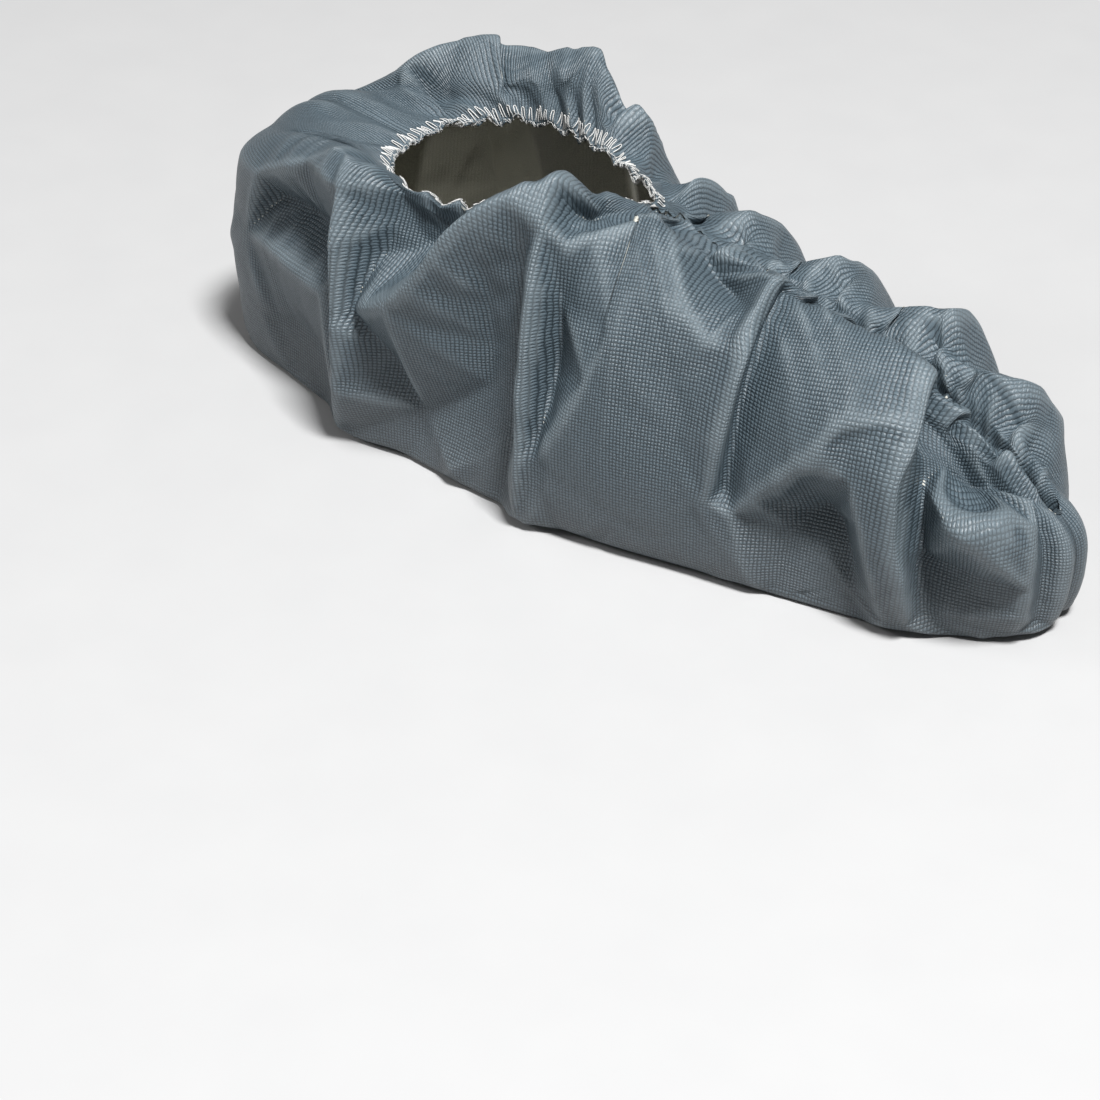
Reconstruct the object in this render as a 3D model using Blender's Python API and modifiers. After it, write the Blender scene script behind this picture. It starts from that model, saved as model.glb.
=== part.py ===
"""Disposable overshoe of coated cloth.

Two half shells, cut as mirror images, are sewn together along the heel, the middle of the sole and
the instep. A narrow elastic ring gathers the ankle opening. Metres, +X to the toe, +Z up, and the
wearer's right side at -Y. Run it with: blender --background --python part.py
"""

import math
from typing import NamedTuple

import bpy
import numpy as np
from mathutils.geometry import delaunay_2d_cdt

# Sizes that can be set by themselves, in metres.
SOLE_LENGTH = 0.344
SOLE_WIDTH = 0.124
SHOULDER_HEIGHT = 0.120
RIM_HEIGHT = 0.104
BELLY = 0.009
OPENING_LENGTH = 0.105
OPENING_WIDTH = 0.062
OPENING_SETBACK = 0.072
SEAM_END_SETBACK = 0.006
FOLD_DEPTH = 0.014
WALL = 0.0011
SEAM_GAP = 0.0003
ELASTIC_WIDTH = 0.005
ELASTIC_THICKNESS = 0.0009
ELASTIC_CLEARANCE = 0.0003

# How much fuller the opening is at its heel end than across its middle.
EGG = 0.6
# The share of the panel's run, heel to toe, at which the opening ends and the instep seam starts.
SEAM_START = 0.58
# The share of the panel's rise, sole seam to rim, below which the cloth lies flat on the floor.
SOLE_RISE = 0.20
# The share of the rise at the top of the shoulder: above it folds move the cloth as they do there,
# up or down, so that the cloth falling to the rim isn't pushed through the wall.
SHOULDER_RISE = 0.80
# How far the sole's flat part reaches towards its edge, and how far the turn up to the wall starts
# inside the edge.
SOLE_FLAT = 0.80
SOLE_EDGE_INSET = 0.003
# Shares over which the folds run out: of the rise, above the sole and below the plain strip at the
# rim, and of the run, at the heel seam and the toe seam.
SOLE_FADE = 0.08
RIM_FADE = 0.11
RIM_STRIP = 0.03
END_FADE = 0.03

# Grid of each half shell: columns beside the opening and along the instep, and rows up to the hem.
OPENING_COLUMNS = 29
INSTEP_COLUMNS = 23
ROWS = 26
# Rounding of the fold lines, in metres along the cloth.
CREASE_RADIUS = 0.0030
RIGHT = -1
LEFT = 1


class Section(NamedTuple):
    """One section of the half shell, at a share of its run from the heel seam (0) to the toe seam (1)."""

    share: float  # of the panel's run
    sole: float  # middle of the sole, share of SOLE_LENGTH from the heel
    ahead: float  # ground edge, share of SOLE_LENGTH from the heel
    out: float  # ground edge, share of half of SOLE_WIDTH
    belly: float  # swell of the wall, share of BELLY
    turn: float  # place on the opening, in half turns from its toe end (0) to its heel end (1)
    seam: float  # place on the instep seam, share from the opening (0) to the toe (1)
    rim: float  # height of the rim or seam, share of RIM_HEIGHT
    right: float  # height of the right shell's shoulder, share of SHOULDER_HEIGHT
    left: float  # height of the left shell's shoulder, share of SHOULDER_HEIGHT
    inward: float  # shoulder's place between ground edge (0) and rim (1)


SECTIONS = (
    Section(0.00, 0.14, -0.01, 0.00, 0.70, 1.00, 0.00, 0.96, 0.86, 0.86, 0.38),
    Section(0.06, 0.15, 0.00, 0.38, 0.50, 0.90, 0.00, 0.95, 0.86, 0.79, 0.38),
    Section(0.16, 0.19, 0.10, 0.63, 0.50, 0.79, 0.00, 0.94, 0.91, 0.89, 0.42),
    Section(0.27, 0.28, 0.24, 0.84, 0.33, 0.67, 0.00, 0.95, 0.88, 0.96, 0.50),
    Section(0.38, 0.37, 0.36, 0.94, 0.33, 0.50, 0.00, 0.97, 0.87, 1.00, 0.50),
    Section(0.47, 0.45, 0.45, 0.98, 0.33, 0.34, 0.00, 1.00, 0.98, 0.82, 0.50),
    Section(0.53, 0.51, 0.52, 0.98, 0.33, 0.17, 0.00, 1.03, 0.98, 0.78, 0.54),
    Section(SEAM_START, 0.56, 0.57, 0.95, 0.30, 0.00, 0.00, 1.03, 0.92, 0.79, 0.60),
    Section(0.69, 0.67, 0.68, 0.84, 0.22, 0.00, 0.30, 0.93, 0.85, 0.77, 0.66),
    Section(0.78, 0.76, 0.79, 0.74, 0.33, 0.00, 0.50, 0.83, 0.77, 0.74, 0.66),
    Section(0.87, 0.85, 0.89, 0.61, 0.44, 0.00, 0.71, 0.69, 0.67, 0.67, 0.64),
    Section(0.94, 0.91, 0.97, 0.37, 0.55, 0.00, 0.88, 0.54, 0.53, 0.51, 0.60),
    Section(1.00, 0.93, 1.01, 0.00, 0.67, 0.00, 1.00, 0.37, 0.38, 0.38, 0.50),
)


class Fold(NamedTuple):
    """A ridge (depth above 0) or a valley through three places on the cloth.

    A place is a share of the panel's run and a share of its rise, and a depth is a share of
    FOLD_DEPTH, outwards from the unfolded shell.
    """

    name: str
    run_a: float
    rise_a: float
    depth_a: float
    run_b: float
    rise_b: float
    depth_b: float
    run_c: float
    rise_c: float
    depth_c: float


RIGHT_FOLDS = (
    Fold("heel shoulder ridge", 0.140, 0.66, 0.3, 0.196, 0.73, 0.5, 0.235, 0.84, 0.7),
    Fold("heel shoulder hollow", 0.110, 0.80, -0.3, 0.156, 0.86, -0.7, 0.200, 0.92, -0.4),
    Fold("heel facet valley", 0.148, 0.62, -0.4, 0.200, 0.61, -0.8, 0.255, 0.60, -0.2),
    Fold("heel facet ridge", 0.120, 0.55, 0.1, 0.195, 0.55, 0.3, 0.262, 0.54, 0.3),
    Fold("heel lower facet", 0.130, 0.38, -0.2, 0.180, 0.42, -0.6, 0.226, 0.38, -0.4),
    Fold("heel corner ridge", 0.240, 0.84, 0.9, 0.281, 0.60, 0.9, 0.257, 0.30, 0.4),
    Fold("scoop brow", 0.240, 0.86, 0.6, 0.300, 0.90, 0.1, 0.362, 0.90, -0.1),
    Fold("scoop cheek", 0.300, 0.80, 0.0, 0.302, 0.72, -0.2, 0.296, 0.64, -0.2),
    Fold("scoop lip, heel end", 0.288, 0.56, 0.2, 0.310, 0.58, 0.4, 0.348, 0.61, 0.6),
    Fold("scoop lip", 0.348, 0.61, 0.6, 0.425, 0.71, 0.9, 0.498, 0.79, 0.9),
    Fold("scoop floor", 0.322, 0.66, -0.5, 0.366, 0.73, -0.8, 0.440, 0.82, -0.7),
    Fold("ankle wall facet", 0.310, 0.52, 0.1, 0.344, 0.44, -0.4, 0.400, 0.32, 0.0),
    Fold("ankle wall hollow", 0.448, 0.66, 0.3, 0.440, 0.52, -0.6, 0.430, 0.36, -0.2),
    Fold("ankle ridge", 0.500, 0.79, 1.1, 0.506, 0.60, 0.8, 0.496, 0.30, 0.4),
    Fold("ankle ridge shade side", 0.484, 0.68, 0.0, 0.478, 0.54, -0.7, 0.470, 0.34, -0.4),
    Fold("pocket lip", 0.510, 0.70, 0.5, 0.552, 0.74, 0.5, 0.613, 0.84, 0.5),
    Fold("pocket floor", 0.516, 0.78, -0.5, 0.542, 0.81, -0.9, 0.575, 0.88, -0.5),
    Fold("instep facet valley", 0.524, 0.64, -0.2, 0.522, 0.56, -0.6, 0.516, 0.48, -0.2),
    Fold("instep facet ridge", 0.626, 0.74, 0.6, 0.578, 0.60, 0.6, 0.514, 0.43, 0.2),
    Fold("instep fullness", 0.668, 0.58, 0.3, 0.662, 0.48, 0.3, 0.650, 0.36, 0.1),
    Fold("lit ridge", 0.620, 0.83, 0.3, 0.655, 0.70, 0.6, 0.696, 0.67, 0.5),
    Fold("lit ridge hollow", 0.648, 0.84, -0.4, 0.674, 0.77, -0.8, 0.698, 0.74, 0.0),
    Fold("overlap lip", 0.716, 0.88, 0.4, 0.711, 0.70, 1.0, 0.698, 0.47, 0.4),
    Fold("overlap valley", 0.728, 0.88, -0.3, 0.724, 0.70, -0.7, 0.711, 0.48, -0.3),
    Fold("toe bulge", 0.745, 0.71, 0.1, 0.792, 0.74, 0.5, 0.846, 0.80, 0.6),
    Fold("toe bulge lower edge", 0.722, 0.46, 0.1, 0.768, 0.56, 0.5, 0.812, 0.65, 0.9),
    Fold("toe bulge front edge", 0.814, 0.64, 0.9, 0.838, 0.51, 0.6, 0.858, 0.33, 0.2),
    Fold("toe bulge facet", 0.764, 0.44, -0.4, 0.798, 0.50, -0.6, 0.828, 0.38, -0.2),
    Fold("toe pleat lip", 0.868, 0.86, 0.5, 0.863, 0.65, 1.0, 0.877, 0.34, 0.2),
    Fold("toe pleat valley", 0.880, 0.86, -0.3, 0.875, 0.66, -0.8, 0.889, 0.36, -0.2),
    Fold("toe cap lip", 0.888, 0.61, 0.4, 0.915, 0.60, 0.9, 0.938, 0.65, 0.5),
    Fold("toe cap recess", 0.894, 0.69, -0.6, 0.918, 0.69, -0.9, 0.940, 0.73, -0.6),
    Fold("toe cap ridge", 0.957, 0.72, 0.3, 0.957, 0.55, 0.4, 0.957, 0.34, 0.1),
    Fold("toe cap crease", 0.972, 0.74, -0.3, 0.972, 0.57, -0.5, 0.972, 0.36, -0.2),
)

LEFT_FOLDS = (
    Fold("brow", 0.102, 0.80, 0.4, 0.154, 0.80, 0.7, 0.203, 0.81, 0.9),
    Fold("second brow", 0.203, 0.81, 0.9, 0.284, 0.80, 0.5, 0.358, 0.81, 0.6),
    Fold("front brow", 0.358, 0.81, 0.6, 0.398, 0.82, 0.0, 0.434, 0.84, 0.5),
    Fold("first ruffle", 0.080, 0.96, 0.1, 0.086, 0.90, 0.4, 0.096, 0.82, 0.2),
    Fold("first ruffle hollow", 0.120, 0.96, -0.3, 0.132, 0.90, -0.8, 0.150, 0.86, -0.5),
    Fold("second ruffle", 0.205, 0.96, 0.1, 0.204, 0.89, 0.6, 0.203, 0.81, 0.9),
    Fold("second ruffle hollow", 0.235, 0.96, -0.2, 0.240, 0.90, -0.7, 0.246, 0.86, -0.3),
    Fold("third ruffle hollow", 0.305, 0.96, -0.2, 0.326, 0.90, -0.6, 0.342, 0.86, -0.3),
    Fold("third ruffle", 0.346, 0.96, 0.1, 0.353, 0.89, 0.4, 0.358, 0.81, 0.6),
    Fold("fourth ruffle hollow", 0.400, 0.96, -0.2, 0.404, 0.89, -0.7, 0.405, 0.85, -0.4),
    Fold("fourth ruffle", 0.430, 0.96, 0.1, 0.433, 0.90, 0.4, 0.434, 0.84, 0.5),
    Fold("heel wall ridge", 0.118, 0.70, 0.2, 0.125, 0.52, 0.2, 0.130, 0.35, 0.1),
    Fold("heel wall hollow", 0.165, 0.70, -0.2, 0.168, 0.52, -0.6, 0.170, 0.34, -0.2),
    Fold("second wall ridge", 0.212, 0.72, 0.4, 0.218, 0.52, 0.3, 0.222, 0.32, 0.1),
    Fold("second wall hollow", 0.290, 0.70, -0.2, 0.295, 0.50, -0.6, 0.296, 0.34, -0.2),
    Fold("third wall ridge", 0.358, 0.70, 0.1, 0.370, 0.50, 0.3, 0.374, 0.32, 0.1),
    Fold("third wall hollow", 0.412, 0.72, -0.4, 0.412, 0.52, -0.6, 0.412, 0.36, -0.2),
    Fold("fourth wall ridge", 0.446, 0.74, 0.1, 0.452, 0.52, 0.2, 0.456, 0.34, 0.1),
    Fold("ankle front hollow", 0.478, 0.92, -0.3, 0.486, 0.80, -0.6, 0.490, 0.54, -0.5),
    Fold("instep ruffle", 0.518, 0.93, 0.2, 0.527, 0.82, 0.4, 0.534, 0.46, 0.2),
    Fold("instep hollow", 0.556, 0.90, -0.4, 0.562, 0.74, -0.6, 0.570, 0.50, -0.4),
    Fold("second instep ruffle", 0.622, 0.88, 0.2, 0.630, 0.77, 0.4, 0.624, 0.44, 0.2),
    Fold("second instep hollow", 0.664, 0.88, -0.4, 0.672, 0.74, -0.6, 0.664, 0.48, -0.4),
    Fold("third instep ruffle", 0.716, 0.88, 0.3, 0.723, 0.78, 0.5, 0.710, 0.46, 0.2),
    Fold("third instep hollow", 0.764, 0.88, -0.4, 0.772, 0.75, -0.4, 0.752, 0.48, -0.4),
    Fold("toe ruffle", 0.826, 0.88, 0.3, 0.838, 0.77, 0.7, 0.822, 0.44, 0.2),
    Fold("toe hollow", 0.862, 0.88, -0.4, 0.870, 0.74, -0.4, 0.862, 0.46, -0.4),
    Fold("second toe ruffle", 0.896, 0.86, 0.3, 0.904, 0.73, 0.6, 0.906, 0.40, 0.2),
    Fold("second toe hollow", 0.944, 0.84, -0.2, 0.956, 0.70, -0.4, 0.950, 0.44, -0.3),
)

CLOTH = ((0.098, 0.130, 0.155), 0.42)
ELASTIC = ((0.72, 0.72, 0.70), 0.80)


def column(name, shares, end_slope=0.0):
    """One column of the section table as a smooth curve, with cubic pieces between the rows.

    The curve is level at both ends, or leaves and meets them at end_slope times the slope of the
    first and last piece.
    """
    knots = np.array([section.share for section in SECTIONS])
    values = np.array([getattr(section, name) for section in SECTIONS])
    slopes = np.gradient(values, knots)
    pieces = np.diff(values) / np.diff(knots)
    slopes[0] = end_slope * pieces[0]
    slopes[-1] = end_slope * pieces[-1]
    left = np.clip(np.searchsorted(knots, shares, side="right") - 1, 0, len(knots) - 2)
    span = knots[left + 1] - knots[left]
    t = (shares - knots[left]) / span
    return (
        (2 * t**3 - 3 * t**2 + 1) * values[left]
        + (t**3 - 2 * t**2 + t) * span * slopes[left]
        + (3 * t**2 - 2 * t**3) * values[left + 1]
        + (t**3 - t**2) * span * slopes[left + 1]
    )


def rim_line(runs):
    """Plan of the rim and instep seam: an egg with its full end at the heel, then a straight line."""
    angle = math.pi * np.clip(column("turn", runs, 1.0), 0.0, 1.0)
    angle = np.where(runs >= SEAM_START, 0.0, angle)
    heel_end = -SOLE_LENGTH / 2 + OPENING_SETBACK
    toe_end = SOLE_LENGTH / 2 - SEAM_END_SETBACK
    opening_end = heel_end + OPENING_LENGTH
    along = np.where(runs > SEAM_START, np.clip(column("seam", runs, 1.0), 0.0, 1.0), 0.0)
    ahead = opening_end - OPENING_LENGTH / 2 * (1 - np.cos(angle)) + along * (toe_end - opening_end)
    out = OPENING_WIDTH / 2 * np.sin(angle) * (1 - EGG * np.cos(angle))
    return np.stack([ahead, out], axis=-1)


def control_rings(runs, side):
    """Nine rings round the half shell, from the sole's middle over ground edge and shoulder to the rim."""
    nothing = np.zeros_like(runs)
    floor_ahead = (column("sole", runs) - 0.5) * SOLE_LENGTH
    middle = np.stack([floor_ahead, nothing], axis=-1)
    edge = np.stack(
        [
            (column("ahead", runs) - 0.5) * SOLE_LENGTH,
            np.maximum(column("out", runs, 1.4), 0.0) * SOLE_WIDTH / 2,
        ],
        axis=-1,
    )
    rim = rim_line(runs)
    outward = edge - middle
    outward /= np.linalg.norm(outward, axis=-1, keepdims=True)
    swell = outward * (column("belly", runs) * BELLY)[:, None]
    shoulder = edge + (rim - edge) * column("inward", runs)[:, None]
    top = column("right" if side == RIGHT else "left", runs) * SHOULDER_HEIGHT
    plan_and_height = (
        (middle, nothing),
        (middle + (edge - middle) * SOLE_FLAT, nothing),
        (edge - outward * SOLE_EDGE_INSET, nothing),
        (edge + outward * 0.001 + swell * 0.25, 0.10 * top),
        (edge + (shoulder - edge) * 0.10 + swell, 0.42 * top),
        (edge + (shoulder - edge) * 0.38 + swell * 1.2, 0.80 * top),
        (shoulder + outward * 0.001, 1.03 * top),
        (rim + (shoulder - rim) * 0.45, 1.00 * top),
        (rim, column("rim", runs) * RIM_HEIGHT),
    )
    return np.stack([np.column_stack([plan, up]) for plan, up in plan_and_height])


def quadratic_curve(rings, rises):
    """Quadratic B-spline across the rings, clamped at the first and the last, at shares 0 to 1."""
    spans = len(rings) - 2
    knots = np.concatenate([[0, 0], np.arange(spans + 1), [spans, spans]]).astype(float)
    at = np.clip(rises, 0, 1) * spans
    span = np.minimum(at.astype(int), spans - 1)
    knot = span + 2
    here = at - knots[knot]
    lead = (at - knots[knot - 1]) / (knots[knot + 1] - knots[knot - 1])
    trail = here / (knots[knot + 2] - knots[knot])
    weights = ((1 - lead) * (1 - here), lead * (1 - here) + (1 - trail) * here, trail * here)
    return sum(weight[:, None, None] * rings[span + i] for i, weight in enumerate(weights))


def plain_shell(runs, rises, side):
    """The half shell without its folds, as rows of points up the rise and columns along the run."""
    points = quadratic_curve(control_rings(runs, side), rises)
    points[..., 1] = side * (points[..., 1] + SEAM_GAP / 2)
    return points


def outward_normals(points, side):
    """Unit normals of a grid of points, pointing out of the shoe."""
    along = np.gradient(points, axis=1)
    up = np.gradient(points, axis=0)
    normals = np.cross(along, up) * -side
    return normals / np.maximum(np.linalg.norm(normals, axis=-1, keepdims=True), 1e-12)


def fold_line(fold, steps=6):
    """Points (run, rise, depth) on the parabola through a fold's three places."""
    t = np.linspace(0, 1, steps)[:, None]
    a, b, c = (np.array(fold[i : i + 3]) for i in (1, 4, 7))
    return a * (1 - t) * (1 - 2 * t) + b * 4 * t * (1 - t) + c * t * (2 * t - 1)


def frame_line(steps=24):
    """Places round the folded part of the cloth where every fold has run out."""
    share = np.linspace(0, 1, steps, endpoint=False)
    level = np.full_like(share, SOLE_RISE)
    sides = (
        (share, level),
        (np.ones_like(share), SOLE_RISE + share * (1 - SOLE_RISE)),
        (1 - share, np.ones_like(share)),
        (np.zeros_like(share), 1 - share * (1 - SOLE_RISE)),
    )
    return np.concatenate([np.column_stack([run, rise, 0 * run]) for run, rise in sides])


def fold_depths(runs, rises, folds, lengths):
    """Depth of the folds at every point of the grid.

    The fold lines are joined by flat triangles, as stiff cloth lies between its creases, and the
    result is then rounded by CREASE_RADIUS. lengths are the panel's run and rise in metres.
    """
    places, edges = [], []
    for line, closed in [(frame_line(), True)] + [(fold_line(fold), False) for fold in folds]:
        first = len(places)
        places.extend(line.tolist())
        edges += [(i, i + 1) for i in range(first, len(places) - 1)]
        if closed:
            edges.append((len(places) - 1, first))
    places = np.array(places)
    flat = places[:, :2] * lengths
    found, _, faces, sources, _, _ = delaunay_2d_cdt(flat.tolist(), edges, [], 0, 1e-7)
    found = np.array([list(point) for point in found])
    nearest = [np.linalg.norm(flat - point, axis=1).argmin() for point in found]
    depth = np.array([places[near[0] if near else nearest[i], 2] for i, near in enumerate(sources)])
    across, up = np.meshgrid(runs * lengths[0], rises * lengths[1])
    result = np.zeros(across.shape)
    for corners in faces:
        (ax, ay), (bx, by), (cx, cy) = found[list(corners)]
        area = (bx - ax) * (cy - ay) - (cx - ax) * (by - ay)
        if abs(area) < 1e-12:
            continue
        b = ((across - ax) * (cy - ay) - (cx - ax) * (up - ay)) / area
        c = ((bx - ax) * (up - ay) - (across - ax) * (by - ay)) / area
        inside = (b >= -1e-6) & (c >= -1e-6) & (b + c <= 1 + 1e-6)
        value = depth[corners[0]] * (1 - b - c) + depth[corners[1]] * b + depth[corners[2]] * c
        result = np.where(inside, value, result)
    return result * FOLD_DEPTH


def rounded(depths, runs, rises, lengths):
    """The depths with each value averaged over its neighbours, by a bell curve of CREASE_RADIUS."""
    for axis, places in ((1, runs * lengths[0]), (0, rises * lengths[1])):
        weights = np.exp(-0.5 * ((places[:, None] - places[None, :]) / CREASE_RADIUS) ** 2)
        weights /= weights.sum(axis=1, keepdims=True)
        depths = depths @ weights.T if axis else weights @ depths
    return depths


def panel_lengths(points):
    """Mean length of the grid's rows and columns, in metres."""
    run = np.linalg.norm(np.diff(points, axis=1), axis=-1).sum(axis=1).mean()
    rise = np.linalg.norm(np.diff(points, axis=0), axis=-1).sum(axis=0).mean()
    return np.array([run, rise])


def grid_places():
    """Columns and rows of the grid, with a column where the seam starts and a row at the hem."""
    beside = np.linspace(0, SEAM_START, OPENING_COLUMNS)
    ahead = np.linspace(SEAM_START, 1, INSTEP_COLUMNS + 1)[1:]
    runs = np.concatenate([beside, ahead])
    shell = plain_shell(runs, np.linspace(0, 1, ROWS), RIGHT)
    hem = 1 - ELASTIC_WIDTH / panel_lengths(shell)[1]
    rises = np.concatenate([[0.0, SOLE_RISE * 0.7], np.linspace(SOLE_RISE, hem, ROWS - 2), [1.0]])
    return runs, rises


def folded_shell(side):
    """Points of the half shell with its folds."""
    runs, rises = grid_places()
    points = plain_shell(runs, rises, side)
    lengths = panel_lengths(points)
    depths = fold_depths(runs, rises, RIGHT_FOLDS if side == RIGHT else LEFT_FOLDS, lengths)
    depths = rounded(depths, runs, rises, lengths)
    above_sole = np.clip((rises - SOLE_RISE) / SOLE_FADE, 0, 1)
    below_rim = np.clip((1 - RIM_STRIP - rises) / RIM_FADE, 0, 1)
    ends = np.clip(runs / END_FADE, 0, 1) * np.clip((1 - runs) / END_FADE, 0, 1)
    outward = outward_normals(points, side)
    shoulder = np.searchsorted(rises, SHOULDER_RISE)
    outward[shoulder:] = outward[shoulder]
    depths = depths * (above_sole * below_rim)[:, None] * ends[None, :]
    points = points + outward * depths[..., None]
    points[..., 2] = np.maximum(points[..., 2], 0.0)
    points[..., 1] = side * np.maximum(side * points[..., 1], SEAM_GAP / 2)
    return points


def principled(name, look):
    """Material with one Principled shader, from a colour and a roughness."""
    colour, roughness = look
    material = bpy.data.materials.new(name)
    material.use_nodes = True
    shader = material.node_tree.nodes["Principled BSDF"]
    shader.inputs["Base Color"].default_value = (*colour, 1.0)
    shader.inputs["Roughness"].default_value = roughness
    shader.inputs["Metallic"].default_value = 0.0
    material.diffuse_color = (*colour, 1.0)
    return material


def solid_from_grid(name, points, look, thickness, side, closed_run=False):
    """Object made of a grid of points with a wall of the given thickness on its inner side."""
    rows, columns = points.shape[:2]
    index = np.arange(rows * columns).reshape(rows, columns)
    if closed_run:
        index = np.column_stack([index, index[:, 0]])
    corners = [index[:-1, :-1], index[:-1, 1:], index[1:, 1:], index[1:, :-1]]
    if side == LEFT:
        corners.reverse()
    faces = np.stack(corners, axis=-1).reshape(-1, 4)
    mesh = bpy.data.meshes.new(name)
    mesh.from_pydata(points.reshape(-1, 3).tolist(), [], faces.tolist())
    mesh.materials.append(principled(name, look))
    sheet = bpy.data.objects.new(name, mesh)
    bpy.context.scene.collection.children["overshoe"].objects.link(sheet)
    wall = sheet.modifiers.new("wall", "SOLIDIFY")
    wall.thickness = thickness
    wall.offset = -1.0
    wall.use_rim = True
    return sheet


def keep_to_side(sheet, side):
    """Applies the wall and brings back to the seam plane what the wall's thickness carried past it.

    Gives the points of the outer and the inner face, in the order of the sheet's own points.
    """
    count = len(sheet.data.vertices)
    bpy.context.view_layer.update()
    graph = bpy.context.evaluated_depsgraph_get()
    mesh = bpy.data.meshes.new_from_object(sheet.evaluated_get(graph))
    sheet.modifiers.clear()
    sheet.data = mesh
    places = np.empty(len(mesh.vertices) * 3, np.float32)
    mesh.vertices.foreach_get("co", places)
    places = places.reshape(-1, 3)
    places[:, 1] = side * np.maximum(side * places[:, 1], SEAM_GAP / 2)
    mesh.vertices.foreach_set("co", places.ravel())
    mesh.update()
    mesh.shade_smooth()
    return places[:count], places[count : 2 * count]


def panel(name, side):
    """One half shell of coated cloth, seamed in the middle plane, and the grids of its two faces."""
    points = folded_shell(side)
    sheet = solid_from_grid(name, points, CLOTH, WALL, side)
    outer, inner = keep_to_side(sheet, side)
    return sheet, outer.reshape(points.shape), inner.reshape(points.shape)


def opening_elastic(right_faces, left_faces):
    """Flat elastic ring on the inner face of the hem, all round the opening."""
    halves = []
    for outer, inner in (right_faces, left_faces):
        strip = inner + (inner - outer) * (ELASTIC_CLEARANCE / WALL)
        strip = strip[-2:, :OPENING_COLUMNS].astype(float)
        strip[:, [0, -1], 1] = 0.0
        halves.append(strip)
    right, left = halves
    ends = np.minimum(right[:, [0, -1]], left[:, [0, -1]])
    loop = np.concatenate([ends[:, :1], right[:, 1:-1], ends[:, 1:], left[:, -2:0:-1]], axis=1)
    ring = solid_from_grid("opening_elastic", loop, ELASTIC, ELASTIC_THICKNESS, RIGHT, closed_run=True)
    ring.data.shade_smooth()
    return ring


def stand_on_origin(objects):
    """Moves the meshes so that the middle of the overshoe's foot is the origin."""
    bpy.context.view_layer.update()
    corners = np.array([object.matrix_world @ vertex.co for object in objects for vertex in object.data.vertices])
    low, high = corners.min(axis=0), corners.max(axis=0)
    shift = np.array([(low[0] + high[0]) / 2, (low[1] + high[1]) / 2, low[2]])
    for object in objects:
        places = np.array([vertex.co for vertex in object.data.vertices]) - shift
        object.data.vertices.foreach_set("co", places.ravel())
        object.data.update()
    return shift


def main():
    """Builds the overshoe in a cleared scene."""
    for old in list(bpy.data.objects):
        bpy.data.objects.remove(old)
    collection = bpy.data.collections.new("overshoe")
    bpy.context.scene.collection.children.link(collection)
    right, *right_faces = panel("right_panel", RIGHT)
    left, *left_faces = panel("left_panel", LEFT)
    stand_on_origin([right, left, opening_elastic(right_faces, left_faces)])


if __name__ == "__main__":
    main()
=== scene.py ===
"""Looks of a disposable overshoe: two gathered half shells of coated cloth, elastic and overlock thread.

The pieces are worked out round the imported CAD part, in metres, with +X to the toe, +Z up and the
wearer's right side at -Y.
"""

import logging
import math
from dataclasses import dataclass, field
from enum import Enum
from typing import NamedTuple, Sequence, Union

import bpy
import numpy as np
from mathutils import Matrix, Vector
from mathutils.geometry import delaunay_2d_cdt


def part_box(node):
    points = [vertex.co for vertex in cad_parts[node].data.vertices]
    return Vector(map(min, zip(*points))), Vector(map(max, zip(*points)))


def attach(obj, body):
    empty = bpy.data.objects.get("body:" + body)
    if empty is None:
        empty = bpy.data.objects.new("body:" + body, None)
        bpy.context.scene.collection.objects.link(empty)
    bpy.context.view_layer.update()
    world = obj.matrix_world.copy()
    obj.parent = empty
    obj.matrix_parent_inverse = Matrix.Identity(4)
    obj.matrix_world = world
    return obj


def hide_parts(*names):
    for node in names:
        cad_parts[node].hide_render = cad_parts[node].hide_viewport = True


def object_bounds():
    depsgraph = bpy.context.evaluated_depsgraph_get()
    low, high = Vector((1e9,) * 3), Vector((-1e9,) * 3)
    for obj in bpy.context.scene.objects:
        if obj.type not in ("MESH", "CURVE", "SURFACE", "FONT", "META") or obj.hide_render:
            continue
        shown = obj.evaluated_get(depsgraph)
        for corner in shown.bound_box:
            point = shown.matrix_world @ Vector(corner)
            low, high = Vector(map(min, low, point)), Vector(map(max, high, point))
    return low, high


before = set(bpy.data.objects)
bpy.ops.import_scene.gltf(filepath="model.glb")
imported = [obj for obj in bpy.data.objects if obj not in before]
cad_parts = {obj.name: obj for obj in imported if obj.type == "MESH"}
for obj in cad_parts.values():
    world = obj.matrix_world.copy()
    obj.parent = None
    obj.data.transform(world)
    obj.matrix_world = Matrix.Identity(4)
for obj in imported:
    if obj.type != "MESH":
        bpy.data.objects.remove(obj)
CAD_BOX = [list(corner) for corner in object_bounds()]

LOG = logging.getLogger("overshoe")
BODY = "root"
PHOTO_PIXELS = 1100


class Side(Enum):
    """The wearer's side that a half shell lies on, as the sign of its Y."""

    RIGHT = -1
    LEFT = 1


@dataclass(frozen=True)
class Sizes:
    """Driving sizes of the overshoe in metres, as the CAD part has them, but with the real cloth."""

    sole_length: float = 0.344
    sole_width: float = 0.124
    shoulder_height: float = 0.120
    rim_height: float = 0.104
    belly: float = 0.009
    opening_length: float = 0.105
    opening_width: float = 0.062
    opening_setback: float = 0.072
    seam_end_setback: float = 0.006
    fold_depth: float = 0.014
    egg: float = 0.6
    seam_start: float = 0.58
    sole_rise: float = 0.20
    shoulder_rise: float = 0.80
    sole_flat: float = 0.80
    sole_edge_inset: float = 0.003
    cloth: float = 0.0003


SIZES = Sizes()
COLUMNS = 330
ROWS = 145
SOLE_ROWS = 12
CREASE_RADIUS = 0.0007
UV_SPAN = 0.5
MAP = "cloth"
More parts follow.
